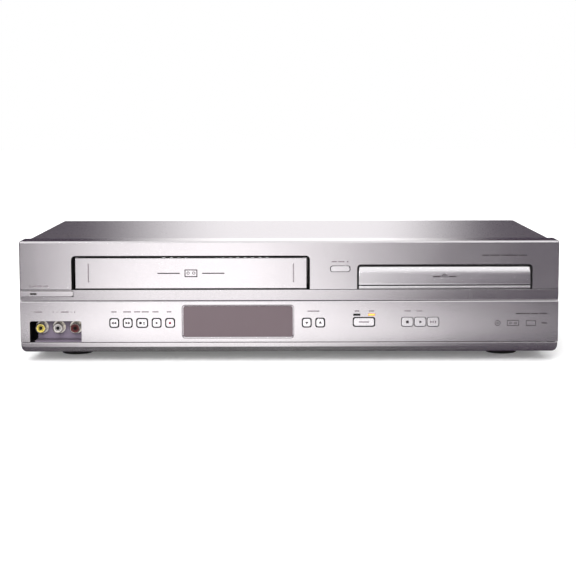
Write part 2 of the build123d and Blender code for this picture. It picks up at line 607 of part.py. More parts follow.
def tape_door():
    """The flap of the tape slot. It hangs from two arms and swings inwards and up over the cassette."""
    top = DOOR_BOTTOM + DOOR_HEIGHT
    face = block(DOOR, (DOOR_RECESS, DOOR_RECESS + DOOR_THICK), (DOOR_BOTTOM, top))
    long_edges = [e for e in face.edges().filter_by(Axis.X) if e.center().Y < FACE + DOOR_RECESS + 0.01]
    face = fillet(long_edges, 0.8)
    for x in (DOOR[0] + DOOR_MARK_INSET, DOOR[1] - DOOR_MARK_INSET):
        mark_z = (top - 4.9 - DOOR_MARK_HEIGHT, top - 4.9)
        face -= centred((x, DOOR_MARK_WIDTH), (DOOR_RECESS, 2 * DOOR_MARK_DEPTH), mark_z)
    depth, z = DOOR_PIVOT
    back = DOOR_RECESS + DOOR_THICK
    for start, way in ((DOOR[0], 1), (DOOR[1], -1)):
        arm_x = sorted((start, start + way * DOOR_ARM))
        face += block(arm_x, (back - 0.3, depth + 2), (top - 6, top - 1.5))
        face += block(arm_x, (depth - 1.8, depth + 2), (top - 2, z))
        face += cross_rod(arm_x, depth, z, 2.0)
        inward = DOOR_ARM + SPRING_LENGTH if way > 0 else 0.5
        pin_x = sorted((start + way * inward, start - way * (DOOR_SIDE_GAP + EAR_THICK - 0.4)))
        face += cross_rod(pin_x, depth, z, DOOR_PIN_RADIUS)
    return face


def tape_door_spring():
    """The spring that closes the tape door: wire turns round the left pin, one leg back and one down the door."""
    depth, z = DOOR_PIVOT
    radius = DOOR_PIN_RADIUS + SPRING_WIRE / 2 + 0.2
    pitch = SPRING_WIRE * 1.25
    path = Helix(pitch=pitch, height=pitch * SPRING_TURNS, radius=radius)
    section = Plane(origin=path @ 0, z_dir=path % 0) * Circle(SPRING_WIRE / 2)
    coil = sweep(section, path=path, is_frenet=True)
    wire = SPRING_WIRE / 2 * 0.95
    spring = Rot(0, 90, 0) * Rot(0, 0, 180) * coil
    spring += Pos(0, SPRING_LEG / 2 - SPRING_JOIN, radius) * Rot(90, 0, 0) * Cylinder(wire, SPRING_LEG)
    lean = math.radians(SPRING_TURNS % 1 * 360)
    foot = (-radius * math.sin(lean), radius * math.cos(lean))
    spring += Pos(pitch * SPRING_TURNS, foot[0], foot[1] + SPRING_JOIN - SPRING_DROP / 2) * Cylinder(wire, SPRING_DROP)
    start = DOOR[0] + DOOR_ARM + SPRING_WIRE
    return Pos(start, FACE + depth, z) * spring


def tray_door():
    """The front of the disc tray: a crowned upper edge and a grooved lower lip."""
    bottom, top = TRAY_DOOR_BOTTOM, TRAY_DOOR_TOP
    groove = bottom + TRAY_GROOVE_RISE
    crown = top - TRAY_DOOR_CROWN
    points = [
        (TRAY_DOOR_THICK, bottom),
        (0.5, bottom),
        (0.5, groove),
        (1.3, groove),
        (1.3, groove + TRAY_GROOVE),
        (0.15, groove + TRAY_GROOVE + 0.7),
        (0.45, crown),
    ]
    steps = 5
    for step in range(1, steps + 1):
        turn = math.pi / 2 * step / steps
        points.append((0.45 + 2.2 * (1 - math.cos(turn)), crown + TRAY_DOOR_CROWN * math.sin(turn)))
    points.append((TRAY_DOOR_THICK, top))
    return side_profile(TRAY_DOOR, points)


def display_window():
    """The tinted window of the display, with a bevelled rim."""
    x, z = grown(WINDOW, -0.15), grown((WINDOW_BOTTOM, WINDOW_TOP), -0.15)
    pane = front_plate(x, z, (WINDOW_RECESS, WALL), WINDOW_CORNER)
    rim = [e for e in pane.edges() if abs(e.center().Y - FACE - WINDOW_RECESS) < 0.01]
    pane = chamfer(rim, 0.6)
    return pane + block(grown(x, 2), (WALL, WALL + 1), grown(z, 0.8))


# ---------------------------------------------------------------- keys
def panel_keys():
    """The holes of the keys in the control panel, by name, as spans of width and height."""
    places = {}
    x = LEFT + KEY_ROW_INSET
    z = (KEY_RISE - KEY_HOLE / 2, KEY_RISE + KEY_HOLE / 2)
    for name, width in zip(TAPE_KEYS, TAPE_KEY_WIDTHS):
        places[name] = {"x": (x, x + width), "z": z}
        x += width + KEY_SPACE
    x = WINDOW[1] + CHANNEL_KEY_SPACE
    for name in ("channel_down", "channel_up"):
        places[name] = {"x": (x, x + KEY_HOLE), "z": z}
        x += KEY_HOLE + KEY_SPACE
    z = (DISC_KEY_RISE - KEY_HOLE / 2, DISC_KEY_RISE + KEY_HOLE / 2)
    end = RIGHT - SOURCE_KEY_INSET
    places["source"] = {"x": (end - SOURCE_KEY_WIDTH, end), "z": z}
    x = RIGHT - DISC_KEY_INSET - 3 * DISC_KEY_WIDTH - 2 * DISC_KEY_SPACE
    for name in ("disc_stop", "disc_play", "dubbing"):
        places[name] = {"x": (x, x + DISC_KEY_WIDTH), "z": z}
        x += DISC_KEY_WIDTH + DISC_KEY_SPACE
    return places


def tray_key_place():
    """The hole of the open and close key, beside the disc slot."""
    end = TRAY_SLOT[0] - TRAY_KEY_SPACE
    low = TRAY_KEY_RISE - TRAY_KEY_HEIGHT / 2
    return {"x": (end - TRAY_KEY_WIDTH, end), "z": (low, low + TRAY_KEY_HEIGHT)}


def power_place():
    """The bar of the power key, at the left end of the band."""
    return {"x": (LEFT, LEFT + POWER_WIDTH), "z": (POWER_BOTTOM, CREASE_HEIGHT - 1.1)}


def key_cap(place, gap):
    """A key: a cap in its hole, a flange behind the wall that keeps it in, and a stem to its switch."""
    x, z = grown(place["x"], -gap), grown(place["z"], -gap)
    cap = front_plate(x, z, (-FACE_BACKSET, WALL + 2 * CLEAR), KEY_CORNER - gap / 2)
    rim = [e for e in cap.edges() if abs(e.center().Y - FACE + FACE_BACKSET) < 0.01]
    cap = fillet(rim, 0.35)
    flange_start = WALL + CLEAR
    lip = min(KEY_FLANGE_LIP, gap + KEY_SPACE / 2 - CLEAR)
    cap += block(grown(x, lip - 0.2), (flange_start, flange_start + KEY_FLANGE), grown(z, lip))
    stem_x, stem_z = sum(x) / 2, sum(z) / 2
    cap += front_rod(stem_x, stem_z, (WALL, STEM_END), KEY_STEM_RADIUS)
    return cap


def disc_key_caps():
    """The three disc keys stand side by side, so each cap is cut square where it meets its neighbour."""
    caps = {}
    places = panel_keys()
    side_gap = DISC_KEY_SPACE / 2
    for name in ("disc_stop", "disc_play", "dubbing"):
        place = places[name]
        x, z = grown(place["x"], -KEY_GAP / 2), grown(place["z"], -KEY_GAP / 2)
        cap = front_plate(x, z, (-FACE_BACKSET, WALL + 2 * CLEAR), KEY_CORNER - KEY_GAP / 2)
        rim = [e for e in cap.edges() if abs(e.center().Y - FACE + FACE_BACKSET) < 0.01]
        cap = fillet(rim, 0.35)
        flange_start = WALL + CLEAR
        flange_x = grown(place["x"], side_gap - CLEAR / 2)
        cap += block(flange_x, (flange_start, flange_start + KEY_FLANGE), grown(z, KEY_FLANGE_LIP))
        cap += front_rod(sum(x) / 2, sum(z) / 2, (WALL, STEM_END), KEY_STEM_RADIUS)
        caps[name + "_button"] = cap
    return caps


def power_button():
    """The power bar: a long cap that fills the left end of the band, with a slot for the standby lamp."""
    place = power_place()
    low, high = place["z"]
    bar = side_profile(place["x"], [(0, high - 0.5), (0.5, high), (POWER_DEPTH, high), (POWER_DEPTH, low), (0.9, low), (0.55, low + 0.4)])
    bar -= corner_cutter(place["x"][1], low, (-1, POWER_DEPTH + 1), 1)
    bar -= front_plate(*power_lamp_slot(), (-1, POWER_DEPTH + 1), 0.5)
    return bar + front_rod(place["x"][1] - 8, sum(place["z"]) / 2, (POWER_DEPTH - 1, STEM_END), KEY_STEM_RADIUS)


def power_lamp_slot():
    """The slot of the standby lamp in the power bar."""
    z = sum(power_place()["z"]) / 2
    return (LEFT + 8.2, LEFT + 8.2 + LAMP_WIDTH), (z - 0.65, z + 0.65)


def lamp_xs():
    """The middles of the two lamps over the source key."""
    key = panel_keys()["source"]["x"]
    return (key[0] + LAMP_WIDTH / 2 + 0.6, key[1] - LAMP_WIDTH / 2 - 0.2)


def lamp(x, grow, depth):
    """A light pipe of the source lamps."""
    half = LAMP_WIDTH / 2 + grow
    return block((x - half, x + half), depth, grown((LAMP_RISE - LAMP_HEIGHT / 2, LAMP_RISE + LAMP_HEIGHT / 2), grow))


def indicator_lenses():
    """Three light pipes: tape and disc over the source key, and standby in the power bar."""
    pipes = [lamp(x, 0, (0, BOARD_DEPTH)) for x in lamp_xs()]
    x, z = power_lamp_slot()
    pipes.append(block(grown(x, -CLEAR), (CLEAR, BOARD_DEPTH), grown(z, -CLEAR)))
    return pipes


# ---------------------------------------------------------------- key board
def key_board_bosses():
    """Where the key board is fastened to the control panel."""
    low = KEY_BOARD_BOTTOM + BOSS_RADIUS + 0.6
    return [
        (KEY_BOARD[0] + 5, low),
        (WINDOW[0] - 8, low),
        (WINDOW[1] + 10, low),
        (KEY_BOARD[1] - 6, low),
    ]


def tact_switch(x, z):
    """A push switch on the key board, with its plunger towards the key."""
    half = SWITCH_SIZE / 2
    body = block((x - half, x + half), (BOARD_DEPTH - SWITCH_BODY, BOARD_DEPTH), (z - half, z + half))
    return body + front_rod(x, z, (SWITCH_FACE, BOARD_DEPTH - SWITCH_BODY + 0.2), PLUNGER_RADIUS)


def front_board():
    """The key boards with their switches and the display, which is held behind the window."""
    depth = (BOARD_DEPTH, BOARD_DEPTH + BOARD_THICK)
    main = block(KEY_BOARD, depth, (KEY_BOARD_BOTTOM, KEY_BOARD_TOP))
    key = tray_key_place()
    low = key["z"][0] - 2 * BOSS_RADIUS - 3
    upper = block((key["x"][0] - 8, key["x"][1] + 4), depth, (low, key["z"][1] + 3))
    bar = power_place()
    side = block((bar["x"][0] + 5, bar["x"][1] - 1), depth, (BAND_BOTTOM + WALL + 0.5, CREASE_HEIGHT + 9))
    solids = [main, upper, side]
    for place in panel_keys().values():
        solids.append(tact_switch(sum(place["x"]) / 2, sum(place["z"]) / 2))
    solids.append(tact_switch(sum(key["x"]) / 2, sum(key["z"]) / 2))
    solids.append(tact_switch(bar["x"][1] - 8, sum(bar["z"]) / 2))
    glass = (BOARD_DEPTH - DISPLAY_THICK, BOARD_DEPTH)
    solids.append(block(grown(WINDOW, -4), glass, grown((WINDOW_BOTTOM, WINDOW_TOP), -3)))
    return solids


def front_jack_shells():
    """The metal shells of the three front sockets, each with its collar on the niche's back wall."""
    shells = []
    for x in JACK_XS:
        tube = front_rod(x, JACK_RISE, (JACK_FRONT, NICHE_BACK + 4), JACK_RADIUS)
        tube -= front_rod(x, JACK_RISE, (JACK_FRONT - 1, NICHE_BACK + 5), JACK_RADIUS - JACK_SHELL)
        collar = front_rod(x, JACK_RISE, (NICHE_BACK, NICHE_BACK + 1.5), JACK_HOLE + 1)
        tube += collar - front_rod(x, JACK_RISE, (NICHE_BACK - 1, NICHE_BACK + 3), JACK_RADIUS - JACK_SHELL)
        shells.append(tube)
    return shells


def front_jack_insert(x):
    """The coloured insulator of a front socket, with its contact bore, on a block behind the niche."""
    radius = JACK_RADIUS - JACK_SHELL - FIT_GAP
    insert = front_rod(x, JACK_RISE, (JACK_FRONT + 0.4, NICHE_BACK + 4), radius)
    insert += centred((x, JACK_SPACE - 1), (NICHE_BACK + 4 + JACK_BLOCK / 2, JACK_BLOCK), (PANEL_BOTTOM + 1, NICHE_TOP))
    return insert - front_rod(x, JACK_RISE, (JACK_FRONT - 1, JACK_FRONT + JACK_REACH), JACK_BORE)


# ---------------------------------------------------------------- case
def top_cover():
    """The folded sheet cover: a top and two sides, with slots at the back of each side."""
    shell = block((-COVER_HALF, COVER_HALF), (FASCIA_DEPTH, REAR_DEPTH), (BASE_TOP, COVER_TOP))
    bends = [
        e
        for e in shell.edges().filter_by(Axis.Y)
        if abs(e.center().Z - COVER_TOP) < 0.01
    ]
    shell = fillet(bends, 1.6)
    inside = COVER_HALF - COVER_SHEET
    shell -= block((-inside, inside), (FASCIA_DEPTH - 1, REAR_DEPTH + 1), (BASE_TOP - 1, COVER_TOP - COVER_SHEET))
    flange = (REAR_DEPTH - PANEL_SHEET - COVER_SHEET, REAR_DEPTH - PANEL_SHEET)
    shell += block(grown((-inside, inside), 0.2), flange, (SCREW_REAR_RISE - 6, COVER_TOP - COVER_SHEET / 2))
    for x in SCREW_REAR_XS:
        shell -= front_rod(x, SCREW_REAR_RISE, grown(flange, 1), SCREW_RADIUS + FIT_GAP)
    for side in (-1, 1):
        for step in range(VENT_COUNT):
            depth = REAR_DEPTH - 22 - step * VENT_PITCH
            x = sorted((side * (COVER_HALF + 1), side * (inside - 1)))
            shell -= block(x, (depth - VENT_WIDTH, depth), (COVER_TOP - SIDE_VENT_DROP - VENT_LENGTH, COVER_TOP - SIDE_VENT_DROP))
        for depth in SCREW_SIDE_DEPTHS:
            x = sorted((side * (COVER_HALF + 1), side * (inside - 1)))
            shell -= cross_rod(x, depth, SCREW_RISE, SCREW_RADIUS + CLEAR)
    return shell


def side_rail_pads():
    """Where the side screws bite: pads on the base's side walls."""
    pads = []
    for side in (-1, 1):
        for depth in SCREW_SIDE_DEPTHS:
            x = sorted((side * BASE_HALF, side * (BASE_HALF - 3)))
            pad = block(x, (depth - 7, depth + 7), (BASE_TOP, SCREW_RISE + 6))
            reach = sorted((side * (BASE_HALF + 1), side * (BASE_HALF - 4)))
            pads.append(pad - cross_rod(reach, depth, SCREW_RISE, SCREW_RADIUS + FIT_GAP))
    return pads


def chassis_base():
    """The base pan, with its side walls, posts and floor slots."""
    span = (-BASE_HALF, BASE_HALF)
    pan = block(span, (BASE_FRONT, REAR_DEPTH - PANEL_SHEET), (FOOT_HEIGHT, BASE_TOP))
    for side in (-1, 1):
        x = sorted((side * BASE_HALF, side * (BASE_HALF - BASE_FLOOR)))
        pan += block(x, (FASCIA_DEPTH + 1, REAR_DEPTH - PANEL_SHEET), (FOOT_HEIGHT, FOOT_HEIGHT + BASE_WALL))
    for pad in side_rail_pads():
        pan += pad
    for x, depth in BOARD_POSTS:
        pan += post(x, depth, (BASE_TOP - 0.5, MAIN_BOARD_RISE), BOARD_POST_RADIUS)
    for x, depth in DECK_POSTS:
        pan += post(x, depth, (BASE_TOP - 0.5, DECK_UNDER), DECK_POST_RADIUS)
    for x, depth in LOADER_POSTS:
        pan += post(x, depth, (BASE_TOP - 0.5, LOADER_BASE), LOADER_POST_RADIUS)
    for column in (-1, 1):
        for step in range(VENT_COUNT):
            depth = BASE_VENT_DEPTH + step * VENT_PITCH
            x = grown((column * BASE_VENT_SPREAD, column * BASE_VENT_SPREAD), VENT_LENGTH / 2)
            pan -= block(x, (depth, depth + VENT_WIDTH), (FOOT_HEIGHT - 1, BASE_TOP + 1))
    for x, depth in FOOT_PLACES:
        pan -= post(x, depth, (FOOT_HEIGHT - 1, BASE_TOP + 1), FOOT_RADIUS * 0.3 + FIT_GAP)
    return pan


def feet():
    """Four round feet, each with a peg up into the base."""
    made = []
    for x, depth in FOOT_PLACES:
        foot = post(x, depth, (0, FOOT_HEIGHT), FOOT_RADIUS)
        rim = [e for e in foot.edges() if e.center().Z < 0.01]
        foot = fillet(rim, 1.2)
        made.append(foot + post(x, depth, (FOOT_HEIGHT - 0.5, BASE_TOP), FOOT_RADIUS * 0.3))
    return made


def rear_panel():
    """The steel back, with round holes for the sockets, the inlet's opening and air slots."""
    depth = (REAR_DEPTH - PANEL_SHEET, REAR_DEPTH)
    inside = COVER_HALF - COVER_SHEET - BASE_GAP
    panel = block((-inside, inside), depth, (FOOT_HEIGHT, COVER_TOP - COVER_SHEET - BASE_GAP))
    through = (depth[0] - 1, depth[1] + 1)
    for x, z in REAR_JACK_PLACES:
        panel -= front_rod(x, z, through, JACK_RADIUS + CLEAR)
    for z in rf_rises():
        panel -= front_rod(TUNER_X, z, through, RF_SOCKET_RADIUS + CLEAR)
    panel -= front_plate(*inlet_place(CLEAR), through, 2.0)
    for step in range(VENT_COUNT + 6):
        x = -REAR_VENT_LEFT + step * VENT_PITCH
        panel -= block((x, x + VENT_WIDTH), through, (REAR_VENT_TOP - VENT_LENGTH, REAR_VENT_TOP))
    for x in SCREW_REAR_XS:
        panel -= front_rod(x, SCREW_REAR_RISE, through, SCREW_RADIUS + CLEAR)
    return panel


def rf_rises():
    """Heights of the two aerial sockets on the tuner."""
    return (BOARD_TOP + 10, BOARD_TOP + 28)


def inlet_place(grow):
    """Opening of the mains inlet, as spans of width and height."""
    x = (INLET_X - INLET_WIDTH / 2 - grow, INLET_X + INLET_WIDTH / 2 + grow)
    return x, (INLET_RISE - INLET_HEIGHT / 2 - grow, INLET_RISE + INLET_HEIGHT / 2 + grow)


def power_inlet():
    """The mains inlet: a rounded socket with two contact pins in it."""
    x, z = inlet_place(0)
    depth = (REAR_DEPTH - INLET_DEPTH, REAR_DEPTH + 1.5)
    shell = front_plate(x, z, depth, INLET_HEIGHT / 2 - 1)
    shell -= front_plate(grown(x, -1.5), grown(z, -1.5), (depth[0] + 3, depth[1] + 1), INLET_HEIGHT / 2 - 2.5)
    inner = REAR_DEPTH - PANEL_SHEET - CLEAR
    shell += front_plate(grown(x, 2), grown(z, 2), (inner - 2, inner), INLET_HEIGHT / 2) - front_plate(
        grown(x, -1.5), grown(z, -1.5), (inner - 3, inner + 1), INLET_HEIGHT / 2 - 2.5
    )
    for side in (-1, 1):
        shell += front_rod(INLET_X + side * 4.3, INLET_RISE, (depth[0] + 2, REAR_DEPTH - 5), 1.2)
    foot = block((INLET_X - 5, INLET_X + 5), (depth[0], depth[0] + 6), (BOARD_TOP, INLET_RISE - INLET_HEIGHT / 2 + 1))
    return shell + foot


def cover_screws():
    """The screws of the cover: two in each side, and three in the back."""
    screws = []
    for side in (-1, 1):
        for depth in SCREW_SIDE_DEPTHS:
            head = sorted((side * COVER_HALF, side * (COVER_HALF + SCREW_HEAD_HEIGHT)))
            shank = sorted((side * (COVER_HALF + 0.5), side * (COVER_HALF - SCREW_LENGTH)))
            screw = cross_rod(head, depth, SCREW_RISE, SCREW_HEAD_RADIUS)
            screws.append(screw + cross_rod(shank, depth, SCREW_RISE, SCREW_RADIUS))
    for x in SCREW_REAR_XS:
        screw = front_rod(x, SCREW_REAR_RISE, (REAR_DEPTH, REAR_DEPTH + SCREW_HEAD_HEIGHT), SCREW_HEAD_RADIUS)
        shank = (REAR_DEPTH - SCREW_LENGTH, REAR_DEPTH + 0.5)
        screws.append(screw + front_rod(x, SCREW_REAR_RISE, shank, SCREW_RADIUS))
    return screws


def rear_jacks():
    """The block of rear sockets on the main board, with a shell for each."""
    low = BOARD_TOP
    xs = [x for x, _ in REAR_JACK_PLACES]
    top = REAR_JACK_RISE + (REAR_JACK_ROWS - 1) * REAR_JACK_SPACE + 8
    inner = REAR_DEPTH - PANEL_SHEET - CLEAR
    body = block((min(xs) - 8, max(xs) + 8), (inner - 12, inner), (low, top))
    for x, z in REAR_JACK_PLACES:
        body += front_rod(x, z, (inner - 1, REAR_DEPTH + SOCKET_REACH), JACK_RADIUS)
        body -= front_rod(x, z, (REAR_DEPTH - 4, REAR_DEPTH + SOCKET_REACH + 1), JACK_BORE)
    return body


def tuner_module():
    """The screened tuner, with its two threaded aerial sockets."""
    inner = REAR_DEPTH - PANEL_SHEET - CLEAR
    x = (TUNER_X - TUNER[0] / 2, TUNER_X + TUNER[0] / 2)
    can = block(x, (inner - TUNER[1], inner), (BOARD_TOP, BOARD_TOP + TUNER[2]))
    for z in rf_rises():
        can += front_rod(TUNER_X, z, (inner - 1, REAR_DEPTH + SOCKET_REACH - 0.4), RF_SOCKET_RADIUS)
        can -= front_rod(TUNER_X, z, (REAR_DEPTH - 3, REAR_DEPTH + SOCKET_REACH + 1), RF_SOCKET_BORE)
    return can


def main_board():
    """The main board, with holes round the posts of the deck and the loader."""
    half = BASE_HALF - MAIN_BOARD_INSET
    board = block((-half, half), (BOARD_FRONT, BOARD_BACK), (MAIN_BOARD_RISE, BOARD_TOP))
    for x, depth in DECK_POSTS:
        board -= post(x, depth, (MAIN_BOARD_RISE - 1, BOARD_TOP + 1), DECK_POST_RADIUS + PEG_GAP)
    for x, depth in LOADER_POSTS:
        board -= post(x, depth, (MAIN_BOARD_RISE - 1, BOARD_TOP + 1), LOADER_POST_RADIUS + PEG_GAP)
    return board


def power_supply_parts():
    """Transformer, capacitors and heat sink on the main board, under the disc loader."""
    upright = (BOARD_TOP, BOARD_TOP + TRANSFORMER[2])
    parts = [centred((TRAY_X + TRANSFORMER_SIDE, TRANSFORMER[0]), (TRANSFORMER_DEPTH, TRANSFORMER[1]), upright)]
    for step in range(CAPACITOR_COUNT):
        x = TRAY_X - CAPACITOR_RADIUS - step * CAPACITOR_PITCH
        parts.append(post(x, TRANSFORMER_DEPTH, (BOARD_TOP, BOARD_TOP + CAPACITOR_HEIGHT), CAPACITOR_RADIUS))
    back = TRANSFORMER_DEPTH - SINK_SPACE
    sink = block((TRAY_X - SINK_WIDTH / 2, TRAY_X + SINK_WIDTH / 2), (back - SINK_THICK, back), upright)
    pitch = (SINK_WIDTH - 2 * SINK_THICK) / (SINK_FINS - 1)
    for step in range(SINK_FINS):
        x = TRAY_X - SINK_WIDTH / 2 + SINK_THICK + step * pitch
        sink += block((x - SINK_FIN / 2, x + SINK_FIN / 2), (back - 0.2, back + SINK_FIN_LENGTH), upright)
    parts.append(sink)
    return parts


# ---------------------------------------------------------------- gears
def gear_outline(teeth, module, turned=0.0):
    """Outline of a spur gear with 20 degree involute flanks, thinned by half the backlash.
    Turned is the angle of the middle of the first tooth."""
    pressure = math.radians(20)
    pitch = module * teeth / 2
    base = pitch * math.cos(pressure)
    tip, root = pitch + 0.9 * module, pitch - 1.2 * module
    involute = lambda radius: math.tan(math.acos(min(1, base / radius))) - math.acos(min(1, base / radius))
    half_pitch = math.pi / (2 * teeth) - GEAR_BACKLASH / (4 * pitch)

    def half_angle(radius):
        return half_pitch + involute(pitch) - involute(max(radius, base))

    flank = [root, max(base, root + 0.1 * module), pitch, (pitch + tip) / 2, tip]
    points = []
    for tooth in range(teeth):
        middle = math.radians(turned) + 2 * math.pi * tooth / teeth
        for radius in flank:
            points.append((radius, middle - half_angle(radius)))
        for radius in reversed(flank):
            points.append((radius, middle + half_angle(radius)))
    return Polygon(*[(r * math.cos(a), r * math.sin(a)) for r, a in points], align=None)


def gear(x, depth, z, teeth, module, turned):
    """A spur gear on an upright axis, between two heights."""
    return Pos(x, FACE + depth, z[0]) * extrude(gear_outline(teeth, module, turned), amount=z[1] - z[0])


def rack():
    """The rack under the left side of the tray. A tooth space stands opposite the pinion at rest."""
    pitch = math.pi * GEAR_MODULE
    slope = math.tan(math.radians(20))
    half = pitch / 4 - GEAR_BACKLASH / 4
    top, root = 0.9 * GEAR_MODULE, 1.2 * GEAR_MODULE
    base_x = TRAY_LEFT + RACK_INSET
    first = math.ceil((8 - GEAR_DEPTH) / pitch)
    last = math.floor((TRAY_LENGTH - 1 - GEAR_DEPTH) / pitch) - 1
    start = GEAR_DEPTH + (first - 0.4) * pitch
    end = GEAR_DEPTH + (last + 1.4) * pitch
    points = [(base_x, start), (RACK_PITCH_X - root, start)]
    for tooth in range(first, last + 1):
        middle = GEAR_DEPTH + (tooth + 0.5) * pitch
        points += [
            (RACK_PITCH_X - root, middle - half - root * slope),
            (RACK_PITCH_X + top, middle - half + top * slope),
            (RACK_PITCH_X + top, middle + half - top * slope),
            (RACK_PITCH_X - root, middle + half + root * slope),
        ]
    points += [(RACK_PITCH_X - root, end), (base_x, end)]
    outline = Polygon(*[(x, FACE + depth) for x, depth in points], align=None)
    return Pos(0, 0, RACK_BOTTOM) * extrude(outline, amount=TRAY_BOTTOM - RACK_BOTTOM + 0.2)


# ---------------------------------------------------------------- disc loader
def clamp_bridge():
    """The bridge over the tray, which holds the clamper."""
    x = (TRAY_X - LOADER_OUTER, TRAY_X + LOADER_OUTER)
    depth = (DISC_CENTRE_DEPTH - BRIDGE_DEPTH / 2, DISC_CENTRE_DEPTH + BRIDGE_DEPTH / 2)
    bridge = block(x, depth, (LOADER_TOP, LOADER_TOP + BRIDGE_SHEET))
    for edge in (depth[0], depth[1] - BRIDGE_SHEET):
        bridge += block(grown(x, -6), (edge, edge + BRIDGE_SHEET), (LOADER_TOP, LOADER_TOP + 4))
    hole = (LOADER_TOP - 1, LOADER_TOP + BRIDGE_SHEET + 1)
    return bridge - post(TRAY_X, DISC_CENTRE_DEPTH, hole, CLAMPER_NECK + 1.5)


def loader_frame():
    """The loader's frame: a base plate with a window for the traverse, walls with tray rails, and a front collar."""
    x = (TRAY_X - LOADER_OUTER, TRAY_X + LOADER_OUTER)
    depth = (LOADER_FRONT, LOADER_BACK)
    base_depth = (LOADER_BASE_FRONT, LOADER_BACK)
    frame = block(x, base_depth, (LOADER_BASE, LOADER_BASE + LOADER_PLATE))
    gap = TRAVERSE_HALF + WINDOW_FRAME
    window = block((TRAY_X - gap, TRAY_X + gap), (TRAVERSE_FRONT - WINDOW_FRAME, TRAVERSE_BACK + 4), (LOADER_BASE - 1, LOADER_BASE + LOADER_PLATE + 1))
    frame -= window
    frame -= post(MOTOR_X, GEAR_DEPTH, (LOADER_BASE - 1, LOADER_BASE + LOADER_PLATE + 1), MOTOR_RADIUS + CLEAR)
    for side in (-1, 1):
        wall = sorted((TRAY_X + side * LOADER_HALF, TRAY_X + side * LOADER_OUTER))
        frame += block(wall, depth, (BAND_BOTTOM + WALL + 0.5, LOADER_TOP))
        frame += block(wall, base_depth, (LOADER_BASE, LOADER_TOP))
        rail = sorted((TRAY_X + side * (LOADER_HALF - LEDGE), TRAY_X + side * (LOADER_HALF + 0.5)))
        frame += block(rail, depth, (TRAY_BOTTOM - CLEAR - 2, TRAY_BOTTOM - CLEAR))
        frame += block(rail, depth, (TRAY_BOTTOM + TRAY_THICK + CLEAR, TRAY_BOTTOM + TRAY_THICK + CLEAR + 2))
        ear = sorted((TRAY_X + side * (TRAVERSE_HALF + 1), TRAY_X + side * (TRAVERSE_HALF + 2 + WINDOW_FRAME)))
        ear_z = (LOADER_BASE, TRAVERSE_RISE + TRAVERSE_SHEET / 2 + 4)
        frame += block(ear, (TRAVERSE_HINGE_DEPTH - 4, TRAVERSE_HINGE_DEPTH + 4), ear_z)
    reach = (TRAY_X - TRAVERSE_HALF - 6, TRAY_X + TRAVERSE_HALF + 6)
    hinge_z = TRAVERSE_RISE + TRAVERSE_SHEET / 2
    frame -= cross_rod(reach, TRAVERSE_HINGE_DEPTH, hinge_z, HINGE_PIN_RADIUS + FIT_GAP)
    frame += post(GEAR_X, GEAR_DEPTH, (LOADER_BASE + 0.5, TRAY_BOTTOM - 2 * CLEAR), GEAR_STUD_RADIUS)
    frame += post(GEAR_X, GEAR_DEPTH, (LOADER_BASE + 0.5, SPUR_BOTTOM - CLEAR), 2 * GEAR_STUD_RADIUS)
    collar_x = grown(TRAY_SLOT, -0.1)
    collar = block(collar_x, (FRAME_RECESS, LOADER_FRONT), (CREASE_HEIGHT + 0.1, TRAY_SLOT_TOP - 0.1))
    corners = [e for e in collar.edges().filter_by(Axis.Y) if e.center().Z > TRAY_SLOT_TOP - 1]
    collar = fillet(corners, SLOT_CORNER)
    collar_hole = block(grown(collar_x, -TRAY_COLLAR), (-1, LOADER_FRONT + 1), (CREASE_HEIGHT - 1, TRAY_SLOT_TOP - TRAY_COLLAR))
    frame += collar - collar_hole
    flange = block(grown(TRAY_SLOT, 3), (LOADER_FRONT - 1.5, LOADER_FRONT), (CREASE_HEIGHT - 3, TRAY_SLOT_TOP + 3))
    inner = block((TRAY_X - LOADER_HALF, TRAY_X + LOADER_HALF), (LOADER_FRONT - 3, LOADER_FRONT + 1), (CREASE_HEIGHT + 0.4, TRAY_SLOT_TOP - 2))
    frame += flange - inner
    for side in (-1, 1):
        web = sorted((TRAY_X + side * LOADER_HALF, TRAY_X + side * LOADER_OUTER))
        frame += block(web, (LOADER_FRONT - 1.5, LOADER_FRONT + 0.5), (CREASE_HEIGHT - 3, LOADER_TOP))
    return frame + clamp_bridge()


def disc_tray():
    """The disc tray: a plate with a recess for each disc size, a slot for the pickup, and its rack."""
    plate = block((TRAY_LEFT, TRAY_LEFT + TRAY_WIDTH), (TRAY_DOOR_THICK, TRAY_LENGTH), (TRAY_BOTTOM, TRAY_BOTTOM + TRAY_THICK))
    floor = TRAY_BOTTOM + TRAY_FLOOR
    top = TRAY_BOTTOM + TRAY_THICK + 1
    plate -= post(TRAY_X, DISC_CENTRE_DEPTH, (floor, top), DISC_RADIUS + 0.6)
    plate -= post(TRAY_X, DISC_CENTRE_DEPTH, (floor - 0.7, top), 40.6)
    plate -= post(TRAY_X, DISC_CENTRE_DEPTH, (TRAY_BOTTOM - 1, top), TRAY_SLOT_HALF)
    slot = (TRAY_X - TRAY_SLOT_HALF, TRAY_X + TRAY_SLOT_HALF)
    plate -= block(slot, (DISC_CENTRE_DEPTH, TRAY_LENGTH + 1), (TRAY_BOTTOM - 1, top))
    return plate + rack()


def tray_gear():
    """The gear that drives the tray: a pinion in the rack, over a larger spur."""
    pinion = gear(GEAR_X, GEAR_DEPTH, (SPUR_TOP - 0.2, TRAY_BOTTOM - 2 * CLEAR), PINION_TEETH, GEAR_MODULE, 180.0)
    spur = gear(GEAR_X, GEAR_DEPTH, (SPUR_BOTTOM, SPUR_TOP), SPUR_TEETH, SPUR_MODULE, 0.0)
    bore = post(GEAR_X, GEAR_DEPTH, (SPUR_BOTTOM - 1, TRAY_BOTTOM), GEAR_STUD_RADIUS + FIT_GAP)
    return pinion + spur - bore


